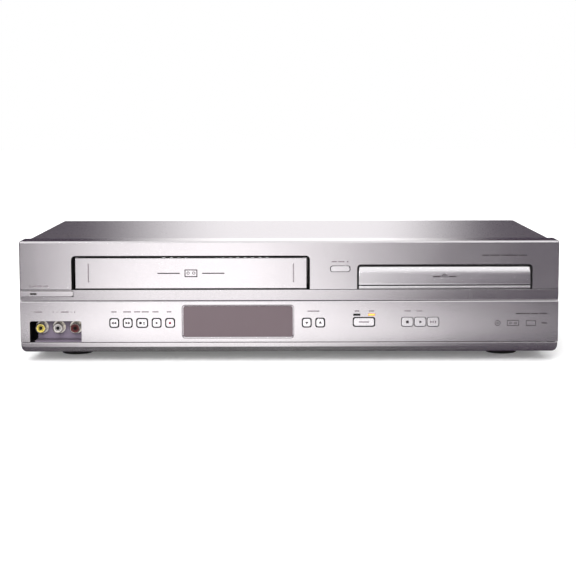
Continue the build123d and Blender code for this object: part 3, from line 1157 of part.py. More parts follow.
def motor_pinion():
    """The small gear on the tray motor's shaft."""
    facing_space = 180.0 + 180.0 / MOTOR_TEETH
    pinion = gear(MOTOR_X, GEAR_DEPTH, (SPUR_BOTTOM, SPUR_TOP), MOTOR_TEETH, SPUR_MODULE, facing_space)
    return pinion + post(MOTOR_X, GEAR_DEPTH, (SPUR_BOTTOM - 5, SPUR_BOTTOM + 0.5), SPINDLE_RADIUS)


def tray_motor():
    """The can of the tray motor, with the bearing of its shaft."""
    top = SPUR_BOTTOM - 2
    can = post(MOTOR_X, GEAR_DEPTH, (top - MOTOR_HEIGHT, top), MOTOR_RADIUS)
    can += post(MOTOR_X, GEAR_DEPTH, (LOADER_BASE - 1.5, LOADER_BASE), MOTOR_RADIUS + 2)
    return can - post(MOTOR_X, GEAR_DEPTH, (top - 4, top + 1), SPINDLE_RADIUS + FIT_GAP)


def traverse():
    """The traverse: a plate with the spindle motor under it and the rods of the pickup above it."""
    x = (TRAY_X - TRAVERSE_HALF, TRAY_X + TRAVERSE_HALF)
    plate = block(x, (TRAVERSE_FRONT, TRAVERSE_BACK), (TRAVERSE_RISE, TRAVERSE_TOP))
    hinge_z = TRAVERSE_RISE + TRAVERSE_SHEET / 2
    for side in (-1, 1):
        pin = sorted((TRAY_X + side * (TRAVERSE_HALF - 1), TRAY_X + side * (TRAVERSE_HALF + WINDOW_FRAME)))
        plate += cross_rod(pin, TRAVERSE_HINGE_DEPTH, hinge_z, HINGE_PIN_RADIUS)
    motor = (TRAVERSE_RISE - SPINDLE_MOTOR_HEIGHT, TRAVERSE_RISE + 0.5)
    plate += post(TRAY_X, DISC_CENTRE_DEPTH, motor, SPINDLE_MOTOR_RADIUS)
    plate -= post(TRAY_X, DISC_CENTRE_DEPTH, (TRAVERSE_RISE - 4, TRAVERSE_TOP + 1), SPINDLE_RADIUS + FIT_GAP)
    rod_depth = (DISC_CENTRE_DEPTH + PICKUP_OFFSET - PICKUP_LENGTH / 2 - 4, TRAVERSE_BACK)
    solids = []
    for side in (-1, 1):
        rod_x = TRAY_X + side * ROD_SPREAD
        for stand in ((rod_depth[0], rod_depth[0] + 3), (rod_depth[1] - 3, rod_depth[1])):
            plate += block((rod_x - 3, rod_x + 3), stand, (TRAVERSE_TOP - 0.5, ROD_RISE + 2))
        plate -= front_rod(rod_x, ROD_RISE, grown(rod_depth, 1), ROD_RADIUS)
        solids.append(front_rod(rod_x, ROD_RISE, rod_depth, ROD_RADIUS))
    return [plate] + solids


def turntable():
    """The turntable that drives the disc, on its shaft."""
    table = post(TRAY_X, DISC_CENTRE_DEPTH, (TURNTABLE_TOP - 3, TURNTABLE_TOP), TURNTABLE_RADIUS)
    hub = post(TRAY_X, DISC_CENTRE_DEPTH, (TRAVERSE_TOP + CLEAR, TURNTABLE_TOP + 0.2), HUB_RADIUS - 2)
    cone = Pos(TRAY_X, FACE + DISC_CENTRE_DEPTH, TURNTABLE_TOP + 1) * Cone(HUB_RADIUS, HUB_RADIUS - 2, 2)
    shaft = post(TRAY_X, DISC_CENTRE_DEPTH, (TRAVERSE_RISE - 3, TRAVERSE_TOP + 1), SPINDLE_RADIUS)
    return table + hub + cone + shaft


def optical_pickup():
    """The pickup on its two rods, with its lens turned up."""
    depth = DISC_CENTRE_DEPTH + PICKUP_OFFSET
    low = ROD_RISE - PICKUP_HEIGHT / 2
    body = centred((TRAY_X, PICKUP_WIDTH), (depth, PICKUP_LENGTH), (low, low + PICKUP_HEIGHT))
    lens = post(TRAY_X, depth - PICKUP_LENGTH / 2 + LENS_RADIUS + 1, (low + PICKUP_HEIGHT - 0.5, TRAY_BOTTOM + 1), LENS_RADIUS)
    body += lens
    for side in (-1, 1):
        reach = (depth - PICKUP_LENGTH, depth + PICKUP_LENGTH)
        body -= front_rod(TRAY_X + side * ROD_SPREAD, ROD_RISE, reach, ROD_RADIUS + FIT_GAP)
    return body


def clamper():
    """The clamper that presses the disc on the turntable, held loosely in the bridge."""
    low = TURNTABLE_TOP + 2 + CLEAR
    top = LOADER_TOP + BRIDGE_SHEET
    disc = post(TRAY_X, DISC_CENTRE_DEPTH, (low, LOADER_TOP - 1), CLAMPER_RADIUS)
    neck = post(TRAY_X, DISC_CENTRE_DEPTH, (LOADER_TOP - 1.5, top + 1.5), CLAMPER_NECK)
    return disc + neck + post(TRAY_X, DISC_CENTRE_DEPTH, (top + 1, top + 3), CLAMPER_FLANGE)


# ---------------------------------------------------------------- tape deck
def arm_pivot():
    """Where the pinch arm turns, so that its roller just meets the capstan at the end of its swing."""
    return DECK_X + CAPSTAN_OFFSET + ARM_LENGTH, CAPSTAN_DEPTH + ROLLER_RADIUS + CAPSTAN_RADIUS + FIT_GAP


def roller_place():
    """The pinch roller's middle at rest, with the arm swung back from the capstan."""
    x, depth = arm_pivot()
    turn = math.radians(ARM_REST_ANGLE)
    return x - ARM_LENGTH * math.cos(turn), depth + ARM_LENGTH * math.sin(turn)


def deck_plate():
    """The deck: a plate, two side walls with windows for the holder's pins, studs and the capstan bearing."""
    x = DECK_WALLS
    plate = block(x, (DECK_FRONT, DECK_WALL_BACK), (DECK_UNDER, DECK_TOP))
    plate += block((DECK_TAIL_LEFT, x[1]), (DECK_WALL_BACK - 1, DECK_BACK), (DECK_UNDER, DECK_TOP))
    for low in (x[0], x[1] - DECK_SHEET):
        wall = block((low, low + DECK_SHEET), (DECK_FRONT, DECK_WALL_BACK), (DECK_UNDER, DECK_WALL_TOP))
        pin = HOLDER_PIN_RADIUS + CLEAR
        window_depth = (HOLDER_PIN_DEPTHS[0] - pin, HOLDER_PIN_DEPTHS[1] + HOLDER_TRAVEL + pin)
        window_z = (HOLDER_PIN_RISE - HOLDER_DROP - pin, HOLDER_PIN_RISE + pin)
        plate += wall - block((low - 1, low + DECK_SHEET + 1), window_depth, window_z)
    for side in (-1, 1):
        plate += post(DECK_X + side * REEL_SPREAD / 2, REEL_DEPTH, (DECK_UNDER, DECK_TOP + REEL_HEIGHT - 2), REEL_STUD)
    capstan_x = DECK_X + CAPSTAN_OFFSET
    plate += post(capstan_x, CAPSTAN_DEPTH, (DECK_UNDER, DECK_TOP + BEARING_HEIGHT - CLEAR), BEARING_RADIUS)
    plate -= post(capstan_x, CAPSTAN_DEPTH, (DECK_UNDER - 1, DECK_TOP + BEARING_HEIGHT + 1), CAPSTAN_RADIUS + FIT_GAP)
    plate += post(*arm_pivot(), (DECK_UNDER, DECK_TOP + BEARING_HEIGHT + ARM_SHEET + 1), ARM_STUD)
    plate += post(*arm_pivot(), (DECK_UNDER, DECK_TOP + BEARING_HEIGHT - CLEAR), ARM_STUD + 1.5)
    for side in (-1, 1):
        plate -= guide_slot(side)
    return plate


def guide_slot(side):
    """The slot in the deck along which a tape guide travels."""
    start = (DECK_X + side * GUIDE_START[0], GUIDE_START[1])
    end = (DECK_X + side * GUIDE_END[0], GUIDE_END[1])
    width = 2 * (GUIDE_RADIUS + CLEAR)
    run = math.hypot(end[0] - start[0], end[1] - start[1])
    turn = math.degrees(math.atan2(end[1] - start[1], end[0] - start[0]))
    slot = extrude(SlotCenterToCenter(run, width), amount=DECK_SHEET + 2)
    middle = ((start[0] + end[0]) / 2, FACE + (start[1] + end[1]) / 2, DECK_UNDER - 1)
    return Pos(*middle) * Rot(0, 0, turn) * slot


def tape_guide(side):
    """A tape guide: a base in its slot and an upright roller with flanges."""
    x, depth = DECK_X + side * GUIDE_START[0], GUIDE_START[1]
    guide = post(x, depth, (DECK_UNDER - 1, DECK_TOP + CLEAR + 0.2), GUIDE_RADIUS)
    guide += post(x, depth, (DECK_TOP + CLEAR, DECK_TOP + CLEAR + 2), GUIDE_BASE)
    guide += post(x, depth, (DECK_UNDER - 2.5, DECK_UNDER - CLEAR), GUIDE_BASE)
    guide += post(x, depth, (DECK_TOP + 2, DECK_TOP + GUIDE_HEIGHT), GUIDE_RADIUS - 0.8)
    for low in (DECK_TOP + 6, DECK_TOP + GUIDE_HEIGHT - 5):
        guide += post(x, depth, (low, low + 1.2), GUIDE_RADIUS + 0.6)
    return guide


def cassette_holder():
    """The holder that carries the cassette in and down: two side channels under a top plate, with guide pins."""
    depth = (HOLDER_FRONT, HOLDER_FRONT + HOLDER_LENGTH)
    x = (DECK_X - HOLDER_HALF, DECK_X + HOLDER_HALF)
    holder = block(x, depth, (HOLDER_CEILING, HOLDER_CEILING + HOLDER_SHEET))
    for side in (-1, 1):
        wall = sorted((DECK_X + side * HOLDER_HALF, DECK_X + side * (HOLDER_HALF - HOLDER_SHEET)))
        holder += block(wall, depth, (HOLDER_FLOOR - HOLDER_SHEET, HOLDER_CEILING + HOLDER_SHEET))
        lip = sorted((DECK_X + side * HOLDER_HALF, DECK_X + side * (HOLDER_HALF - HOLDER_LIP)))
        holder += block(lip, depth, (HOLDER_FLOOR - HOLDER_SHEET, HOLDER_FLOOR))
        for pin_depth in HOLDER_PIN_DEPTHS:
            reach = sorted((DECK_X + side * (HOLDER_HALF - 0.5), DECK_X + side * (DECK_HALF + DECK_SHEET)))
            holder += cross_rod(reach, pin_depth, HOLDER_PIN_RISE, HOLDER_PIN_RADIUS)
    return holder


def cassette_slider():
    """The slider that draws the holder in: two side plates, with upright slots for its pins, under a cross bar."""
    depth = (HOLDER_FRONT, HOLDER_FRONT + HOLDER_LENGTH)
    inner = HOLDER_HALF + 2 * CLEAR
    outer = inner + SLIDER_SHEET
    top = SLIDER_TOP - SLIDER_SHEET
    middle = sum(depth) / 2
    bar_depth = (middle - SLIDER_BAR / 2, middle + SLIDER_BAR / 2)
    slider = block((DECK_X - outer, DECK_X + outer), bar_depth, (top, top + SLIDER_SHEET))
    pin = HOLDER_PIN_RADIUS + CLEAR
    for side in (-1, 1):
        plate_x = sorted((DECK_X + side * inner, DECK_X + side * outer))
        plate = block(plate_x, depth, (DECK_TOP + 2 * CLEAR, top + SLIDER_SHEET))
        for pin_depth in HOLDER_PIN_DEPTHS:
            slot_z = (HOLDER_PIN_RISE - HOLDER_DROP - pin, HOLDER_PIN_RISE + pin)
            plate -= block(grown(plate_x, 1), (pin_depth - pin, pin_depth + pin), slot_z)
        slider += plate
    return slider


def drum_tilt():
    """Places a piece of the drum, drawn upright at the origin, on the deck with the drum's lean."""
    return Pos(DECK_X, FACE + DRUM_DEPTH, DECK_TOP + DRUM_STAND) * Rot(DRUM_TILT, 0, 0)


def drum_base():
    """The fixed lower drum on its stand, with the bearing of the head drum."""
    lower = Pos(0, 0, DRUM_LOWER / 2) * Cylinder(DRUM_RADIUS, DRUM_LOWER)
    lower += Pos(0, 0, -DRUM_STAND) * Cylinder(DRUM_RADIUS * 0.6, 2 * DRUM_STAND + 1)
    lower -= Pos(0, 0, DRUM_LOWER / 2 + 4) * Cylinder(DRUM_SHAFT + FIT_GAP, DRUM_LOWER)
    placed = drum_tilt() * lower
    under = block((DECK_X - 40, DECK_X + 40), (DRUM_DEPTH - 45, DRUM_DEPTH + 45), (DECK_TOP - 40, DECK_TOP))
    return placed - under


def head_drum():
    """The turning head drum, on its shaft, with a boss on top."""
    low = DRUM_LOWER + DRUM_GAP
    upper = Pos(0, 0, low + DRUM_UPPER / 2) * Cylinder(DRUM_RADIUS, DRUM_UPPER)
    rim = [e for e in upper.edges() if e.center().Z > low + DRUM_UPPER - 0.01]
    upper = chamfer(rim, 1.0)
    upper += Pos(0, 0, low + DRUM_UPPER + 2) * Cylinder(12, 4.4)
    upper += Pos(0, 0, low - 4) * Cylinder(DRUM_SHAFT, 8.4)
    return drum_tilt() * upper


def capstan():
    """The capstan shaft with its flywheel under the deck."""
    x = DECK_X + CAPSTAN_OFFSET
    low = DECK_UNDER - CLEAR - FLYWHEEL_THICK
    wheel = post(x, CAPSTAN_DEPTH, (low, DECK_UNDER - CLEAR), FLYWHEEL_RADIUS)
    return wheel + post(x, CAPSTAN_DEPTH, (low, CAPSTAN_TOP), CAPSTAN_RADIUS)


def pinch_arm():
    """The arm of the pinch roller, with the roller's pin."""
    pivot, roller = arm_pivot(), roller_place()
    low = DECK_TOP + BEARING_HEIGHT
    run = math.hypot(roller[0] - pivot[0], roller[1] - pivot[1])
    turn = math.degrees(math.atan2(roller[1] - pivot[1], roller[0] - pivot[0]))
    blade = extrude(SlotCenterToCenter(run, 9), amount=ARM_SHEET)
    middle = ((pivot[0] + roller[0]) / 2, FACE + (pivot[1] + roller[1]) / 2, low)
    arm = Pos(*middle) * Rot(0, 0, turn) * blade
    arm -= post(*pivot, (low - 1, low + ARM_SHEET + 1), ARM_STUD + FIT_GAP)
    return arm + post(*roller, (low + 0.5, low + ARM_SHEET + ROLLER_HEIGHT + 1), ARM_STUD)


def pinch_roller():
    """The rubber roller on the pinch arm's pin."""
    low = DECK_TOP + BEARING_HEIGHT + ARM_SHEET + 0.2
    roller = post(*roller_place(), (low, low + ROLLER_HEIGHT), ROLLER_RADIUS)
    return roller - post(*roller_place(), (low - 1, low + ROLLER_HEIGHT + 1), ARM_STUD + FIT_GAP)


def reel(side):
    """A reel table: a disc with a hub and three drive fins, on its stud."""
    x = DECK_X + side * REEL_SPREAD / 2
    low = DECK_TOP + CLEAR
    table = post(x, REEL_DEPTH, (low, low + REEL_TABLE), REEL_RADIUS)
    table += post(x, REEL_DEPTH, (low, low + REEL_HEIGHT - 4), REEL_HUB - 2)
    for fin in range(3):
        blade = Pos(REEL_HUB - 2, 0, (REEL_HEIGHT - 4) / 2) * Box(4, 1.6, REEL_HEIGHT - 4)
        table += Pos(x, FACE + REEL_DEPTH, low) * Rot(0, 0, 120 * fin) * blade
    return table - post(x, REEL_DEPTH, (low - 1, low + REEL_HEIGHT), REEL_STUD + FIT_GAP)


def tape_heads():
    """The erase head left of the drum and the sound head right of it, each on its stand."""
    heads = []
    for side in (-1, 1):
        x = DECK_X + side * (CAPSTAN_OFFSET - HEAD_SPACE)
        depth = CAPSTAN_DEPTH - HEAD_SETBACK
        stand = post(x, depth, (DECK_TOP, DECK_TOP + HEAD_LIFT), HEAD_STAND)
        block_z = (DECK_TOP + HEAD_LIFT - 0.5, DECK_TOP + HEAD_LIFT + HEAD[2])
        heads.append(stand + centred((x, HEAD[0]), (depth, HEAD[1]), block_z))
    return heads


def loading_motor():
    """The motor that loads the tape, lying on the deck left of the drum."""
    x = DECK_X - LOADING_MOTOR_SIDE
    rise = DECK_TOP + LOADING_MOTOR_RADIUS + 1
    depth = (CAPSTAN_DEPTH + 2, CAPSTAN_DEPTH + 2 + LOADING_MOTOR_LENGTH)
    can = front_rod(x, rise, depth, LOADING_MOTOR_RADIUS)
    half = LOADING_MOTOR_RADIUS * 0.75
    return can + block((x - half, x + half), grown(depth, -2), (DECK_TOP, rise - half))


# ---------------------------------------------------------------- every piece by name
def all_pieces():
    """Every piece of the player, by name. A list is a group of separate solids."""
    pieces = {
        "upper_fascia": upper_fascia(),
        "control_panel": control_panel(),
        "bottom_trim": bottom_trim(),
        "tape_slot_frame": tape_slot_frame(),
        "tape_door": tape_door(),
        "tape_door_spring": tape_door_spring(),
        "tray_door": tray_door(),
        "display_window": display_window(),
        "power_button": power_button(),
        "tray_button": key_cap(tray_key_place(), KEY_GAP / 2),
        "indicator_lenses": indicator_lenses(),
        "front_jack_shells": front_jack_shells(),
        "front_board": front_board(),
        "top_cover": top_cover(),
        "chassis_base": chassis_base(),
        "rear_panel": rear_panel(),
        "feet": feet(),
        "cover_screws": cover_screws(),
        "rear_jacks": rear_jacks(),
        "tuner_module": tuner_module(),
        "power_inlet": power_inlet(),
        "main_board": main_board(),
        "power_supply_parts": power_supply_parts(),
        "loader_frame": loader_frame(),
        "disc_tray": disc_tray(),
        "tray_gear": tray_gear(),
        "motor_pinion": motor_pinion(),
        "tray_motor": tray_motor(),
        "traverse": traverse(),
        "turntable": turntable(),
        "optical_pickup": optical_pickup(),
        "clamper": clamper(),
        "deck_plate": deck_plate(),
        "cassette_holder": cassette_holder(),
        "cassette_slider": cassette_slider(),
        "drum_base": drum_base(),
        "head_drum": head_drum(),
        "capstan": capstan(),
        "pinch_arm": pinch_arm(),
        "pinch_roller": pinch_roller(),
        "supply_reel": reel(-1),
        "takeup_reel": reel(1),
        "tape_heads": tape_heads(),
        "supply_guide": tape_guide(-1),
        "takeup_guide": tape_guide(1),
        "loading_motor": loading_motor(),
    }
    for name, x in zip(("yellow", "white", "red"), JACK_XS):
        pieces["front_jack_" + name] = front_jack_insert(x)
    disc_keys = disc_key_caps()
    for name, place in panel_keys().items():
        if name + "_button" not in disc_keys:
            pieces[name + "_button"] = key_cap(place, KEY_GAP)
    pieces.update(disc_keys)
    return pieces


def main():
    os.makedirs("parts", exist_ok=True)
    for name, piece in all_pieces().items():
        group = piece if isinstance(piece, list) else [piece]
        solids = [solid for shape in group for solid in shape.solids()]
        export_step(solids[0] if len(solids) == 1 else Compound(children=solids), f"parts/{name}.step")


main()
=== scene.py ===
"""The looks of a table-top player with a video cassette slot and a disc tray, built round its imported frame.

Run as a script it dresses the frame piece by piece, and sets the stage and the camera.
All lengths are metres in the frame's own axes: +X right along the front, +Y to the back, +Z up.
"""

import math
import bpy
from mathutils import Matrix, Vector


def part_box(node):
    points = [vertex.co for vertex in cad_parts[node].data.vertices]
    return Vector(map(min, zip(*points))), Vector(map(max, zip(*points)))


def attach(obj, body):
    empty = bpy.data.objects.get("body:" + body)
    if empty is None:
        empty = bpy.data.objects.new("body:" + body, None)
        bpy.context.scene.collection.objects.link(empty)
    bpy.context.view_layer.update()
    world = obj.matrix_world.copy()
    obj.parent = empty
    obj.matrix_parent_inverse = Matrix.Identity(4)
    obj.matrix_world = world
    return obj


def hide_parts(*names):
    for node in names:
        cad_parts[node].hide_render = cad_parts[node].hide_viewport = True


bl_info = {
    "name": "Disc and tape player",
    "version": (1, 0, 0),
    "blender": (4, 5, 0),
    "location": "View3D > Sidebar > Player",
    "description": "Finishes, prints and small parts of a disc and tape player",
    "category": "Object",
}

import bmesh
import bpy
import numpy as np
from mathutils import Matrix, Vector

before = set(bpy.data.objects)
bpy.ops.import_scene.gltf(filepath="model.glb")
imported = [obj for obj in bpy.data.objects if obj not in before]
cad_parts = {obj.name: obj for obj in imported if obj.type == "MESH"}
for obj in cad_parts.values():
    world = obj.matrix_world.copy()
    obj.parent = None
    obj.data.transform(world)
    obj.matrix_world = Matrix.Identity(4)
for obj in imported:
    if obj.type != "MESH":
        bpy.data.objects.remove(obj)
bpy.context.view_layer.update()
MM = 0.001
KEYS = (
    "rewind", "forward", "tape_stop", "tape_play", "record", "channel_down", "channel_up", "source",
    "disc_stop", "disc_play", "dubbing",
)  # fmt: skip


# ---------------------------------------------------------------- measures of the frame


def span(node):
    """The lowest and the highest corner of a node of the frame, as two arrays."""
    low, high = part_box(node)
    return np.array(low), np.array(high)


def linear(code):
    """An sRGB hex colour as three linear values.
    Each is c/12.92 up to 0.04045, else ((c + 0.055)/1.055) to the power 2.4."""
    c = np.array([int(code[i : i + 2], 16) for i in (1, 3, 5)]) / 255
    return tuple(float(v) for v in np.where(c <= 0.04045, c / 12.92, ((c + 0.055) / 1.055) ** 2.4))


FRONT = float(span("upper_fascia")[0][1])
CAP_FACE = float(span("rewind_button")[0][1])
CREASE = 0.0602  # height at which the two mouldings of the front meet
TAPE_SLOT, TAPE_SLOT_TOP = (-174.7 * MM, 16.4 * MM), 87.3 * MM
DISC_SLOT, DISC_SLOT_TOP = (55.0 * MM, 195.9 * MM), 80.2 * MM
SLOT_CORNER = 3 * MM
TAPE_DOOR_FACE = FRONT + 0.8 * MM
TAPE_SIGN_HEIGHT, DISC_SIGN_HEIGHT = 73.4 * MM, 70.4 * MM
LAMP_HEIGHT = 39.6 * MM
LABEL_ROW = 42.2  # middle height of most labels, in millimetres


# ---------------------------------------------------------------- values a user would change


def colour_value(name, description, code):
    """A colour that a user would change, its default given as an sRGB hex value."""
    return bpy.props.FloatVectorProperty(
        name=name, description=description, subtype="COLOR", min=0, max=1, default=linear(code)
    )


def length_value(name, description, default, least, precision=4):
    """A length that a user would change, its default and its least value given in millimetres."""
    return bpy.props.FloatProperty(
        name=name, description=description, unit="LENGTH",
        default=default * MM, min=least * MM, precision=precision,
    )


class PlayerColours(bpy.types.PropertyGroup):
    silver: colour_value("Silver paint", "Metallic paint of the front and the tape door", "#DEDADD")
    key_silver: colour_value("Key paint", "Lighter metallic paint of the keys and the disc door", "#F0EDF0")
    cover: colour_value("Cover paint", "Grey silver paint of the top cover", "#C9C4C9")
    window: colour_value("Window", "Smoked acrylic of the display window", "#44393D")
    ink: colour_value("Ink", "Dark ink of the symbols", "#2B2629")
    label_ink: colour_value("Label ink", "Paler ink of the small label bars", "#5A5357")
    record_ink: colour_value("Record ink", "Red ink of the record key", "#6B3740")
    amber: colour_value("Lit lamp", "Colour of the lit light pipe", "#F0913A")


class PlayerSizes(bpy.types.PropertyGroup):
    print_height: length_value("Ink thickness", "How far printed ink stands on the surface", 0.03, 0.01, 5)
    symbol: length_value("Key symbol", "Height of the symbols on the keys", 2.5, 1.0)
    label: length_value("Label bar", "Height of the small label bars", 0.9, 0.3, 5)
    crown: length_value("Disc door crown", "Height of the rounded top of the disc door", 8.6, 2.0)


# ---------------------------------------------------------------- surfaces as arrays


def grid_faces(rows, columns):
    """The quads of a grid of rows by columns of points, each cell once."""
    r, c = np.meshgrid(np.arange(rows - 1), np.arange(columns - 1), indexing="ij")
    first = (r * columns + c).ravel()
    return np.stack([first, first + 1, first + columns + 1, first + columns], axis=1).tolist()


def joined(parts):
    """Several (points, faces) pairs as one, the face numbers moved on by the points before them."""
    starts = np.cumsum([0] + [len(points) for points, _ in parts])
    points = np.concatenate([points for points, _ in parts])
    return points, [[v + int(start) for v in face] for (_, faces), start in zip(parts, starts) for face in faces]


def around(middle, half):
    """The two limits that lie half to each side of a middle."""
    return middle - half, middle + half


def at_depth(outline, y):
    """A flat outline in X and Z as points at depth y."""
    return np.stack([outline[:, 0], np.full(len(outline), y), outline[:, 1]], axis=1)


def prism(outline, near, far):
    """A flat shape in X and Z, anticlockwise seen from the front, carried from depth near to far."""
    n = len(outline)
    i = np.arange(n)
    sides = np.stack([i, i + n, (i + 1) % n + n, (i + 1) % n], axis=1).tolist()
    ends = [list(range(n)), list(range(2 * n - 1, n - 1, -1))]
    return np.concatenate([at_depth(outline, near), at_depth(outline, far)]), sides + ends


def rounded(x, z, radius, steps=6):
    """A rectangle in X and Z whose corners are quarter circles: corner centre + radius (cos a, sin a)."""
    left, right = x[0] + radius, x[1] - radius
    low, high = z[0] + radius, z[1] - radius
    quarters = []
    for n, (u, v) in enumerate(((right, high), (left, high), (left, low), (right, low))):
        a = np.linspace(0, math.pi / 2, steps) + n * math.pi / 2
        quarters.append(np.stack([u + radius * np.cos(a), v + radius * np.sin(a)], axis=1))
    return np.concatenate(quarters)


def disc_outline(x, z, radius, steps=28):
    """A circle: centre + radius (cos a, sin a)."""
    a = np.linspace(0, 2 * math.pi, steps, endpoint=False)
    return np.stack([x + radius * np.cos(a), z + radius * np.sin(a)], axis=1)


def lathe(profile, centre, axis="Y", steps=40):
    """A profile of (radius, along) points, closed on itself and turned about Y or Z:
    centre + along·axis + radius (cos a, sin a)."""
    profile = np.array([*profile, profile[0]])
    a = np.linspace(0, 2 * math.pi, steps + 1)
    radius, along = profile[:, 0][:, None], profile[:, 1][:, None] * np.ones_like(a)
    u, v = radius * np.cos(a), radius * np.sin(a)
    points = np.stack([u, along, v] if axis == "Y" else [v, u, along], axis=2)
    return points.reshape(-1, 3) + np.array(centre), grid_faces(len(profile), steps + 1)


def sweep(stations):
    """A closed Y-Z profile carried along X. stations are (x, section) pairs, all with as many (y, z) points."""
    n, m = len(stations[0][1]), len(stations)
    points = np.concatenate([np.stack([np.full(n, x), s[:, 0], s[:, 1]], axis=1) for x, s in stations])
    k, i = np.meshgrid(np.arange(m - 1), np.arange(n), indexing="ij")
    a, b = k * n + i, k * n + (i + 1) % n
    quads = np.stack([a, b, b + n, a + n], axis=2).reshape(-1, 4).tolist()
    return points, quads + [list(range(n - 1, -1, -1)), list(range((m - 1) * n, m * n))]


def corner_drop(x, ends, radius):
    """How far an edge has dropped at x on the quarter circles at its ends: radius - root(radius² - inset²)."""
    inset = max(0.0, radius - min(x - ends[0], ends[1] - x))
    return radius - math.sqrt(max(0.0, radius**2 - inset**2))


def corner_stations(ends, radius, steps):
    """Places along X that follow those quarter circles in equal angles: end + radius (1 - cos a)."""
    step = radius * (1 - np.cos(np.linspace(0, math.pi / 2, steps)))
    return np.concatenate([ends[0] + step, ends[1] - step[::-1]])


def bar(x, z, depths, corner=0.2 * MM, steps=3):
    """A flat bar with rounded corners between two limits in X and two in Z, carried between two depths."""
    return prism(rounded(x, z, corner, steps), *depths)


def hoop(x, z, radius, width, depths):
    """A flat ring round (x, z), by its outer radius and its width, carried between two depths."""
    near, far = depths
    return lathe([(radius - width, near), (radius, near), (radius, far), (radius - width, far)], (x, 0, z))


def rules(x, z, inner, outer, depths):
    """Two thin rules beside a sign, each from inner to outer away from its middle."""
    return [bar(sorted((x + s * inner, x + s * outer)), around(z, 0.45 * MM), depths) for s in (-1, 1)]


def box_sign(x, z, half_x, half_z, width, depths):
    """A drawn rectangle of four bars, their middle lines half_x and half_z from its middle."""
    level = [bar(around(x, half_x), around(z + s * half_z, width / 2), depths, width * 0.4, 2) for s in (-1, 1)]
    upright = [bar(around(x + s * half_x, width / 2), around(z, half_z), depths, width * 0.4, 2) for s in (-1, 1)]
    return level + upright


def closed_frame(rings):
    """(outline, depth) pairs with equally many corners, joined ring to ring and back to the first."""
    rings = [at_depth(outline, y) for outline, y in [*rings, rings[0]]]
    points = np.concatenate([np.concatenate([r, r[:1]]) for r in rings])
    return points, grid_faces(len(rings), len(rings[0]) + 1)


def piece(name, shape, material, body, replaces=(), smooth=True, angle=35, bevel=0.0):
    """Puts a (points, faces) pair into a mesh object that rides on a body of the frame."""
    points, faces = shape
    mesh = bpy.data.meshes.new(name)
    mesh.from_pydata(points.tolist(), [], faces)
    made = bpy.data.objects.new(name, mesh)
    bpy.context.scene.collection.objects.link(made)
    mesh.materials.append(material)
    solid = bmesh.new()
    solid.from_mesh(mesh)
    bmesh.ops.remove_doubles(solid, verts=solid.verts, dist=1e-7)
    bmesh.ops.recalc_face_normals(solid, faces=solid.faces)
    solid.to_mesh(mesh)
    solid.free()
    if bevel:
        edge = made.modifiers.new("edge", "BEVEL")
        edge.width, edge.segments, edge.limit_method, edge.angle_limit = bevel, 3, "ANGLE", math.radians(30)
    if smooth:
        mesh.shade_smooth()
        mesh.set_sharp_from_angle(angle=math.radians(angle))
    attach(made, body)
    if replaces:
        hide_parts(*replaces)
    return made


# ---------------------------------------------------------------- materials


def add(tree, kind, inputs=None, **settings):
    """Adds one node. settings are its own values; inputs are its sockets by name or number,
    each a value or another node's output."""
    made = tree.nodes.new(kind)
    for key, value in settings.items():
        setattr(made, key, value)
    for key, value in (inputs or {}).items():
        if isinstance(value, bpy.types.NodeSocket):
            tree.links.new(value, made.inputs[key])
        else:
            made.inputs[key].default_value = value
    return made


def opened(name):
    """A new node material: itself, its tree and the Object coordinates in metres."""
    material = bpy.data.materials.new(name)
    material.use_nodes = True
    tree = material.node_tree
    tree.nodes.clear()
    return material, tree, add(tree, "ShaderNodeTexCoord").outputs["Object"]


def shade(colour, by=1.0):
    """A colour or an sRGB hex value, made lighter or darker by a factor, with full alpha."""
    if isinstance(colour, str):
        colour = linear(colour)
    return tuple(min(1.0, c * by) for c in colour[:3]) + (1.0,)


def region(tree, where, depth, lean=0.0, x=(-1.0, 1.0), z=(-1.0, 1.0)):
    """1 where a surface lies deeper than depth behind the front inside the limits of x and z, else 0.
    lean moves the depth back by lean metres for each metre below the crease, as the band leans."""
    xyz = add(tree, "ShaderNodeSeparateXYZ", {0: where})
    below = add(tree, "ShaderNodeMath", {0: CREASE, 1: xyz.outputs[2]}, operation="SUBTRACT")
    below = add(tree, "ShaderNodeMath", {0: below.outputs[0], 1: 0.0}, operation="MAXIMUM")
    edge = add(tree, "ShaderNodeMath", {0: below.outputs[0], 1: lean, 2: FRONT + depth}, operation="MULTIPLY_ADD")
    inside = add(tree, "ShaderNodeMath", {0: xyz.outputs[1], 1: edge.outputs[0]}, operation="GREATER_THAN")
    for axis, limits in ((0, x), (2, z)):
        for limit, test in zip(limits, ("GREATER_THAN", "LESS_THAN")):
            side = add(tree, "ShaderNodeMath", {0: xyz.outputs[axis], 1: limit}, operation=test)
            inside = add(tree, "ShaderNodeMath", {0: inside.outputs[0], 1: side.outputs[0]}, operation="MULTIPLY")
    return inside.outputs[0]


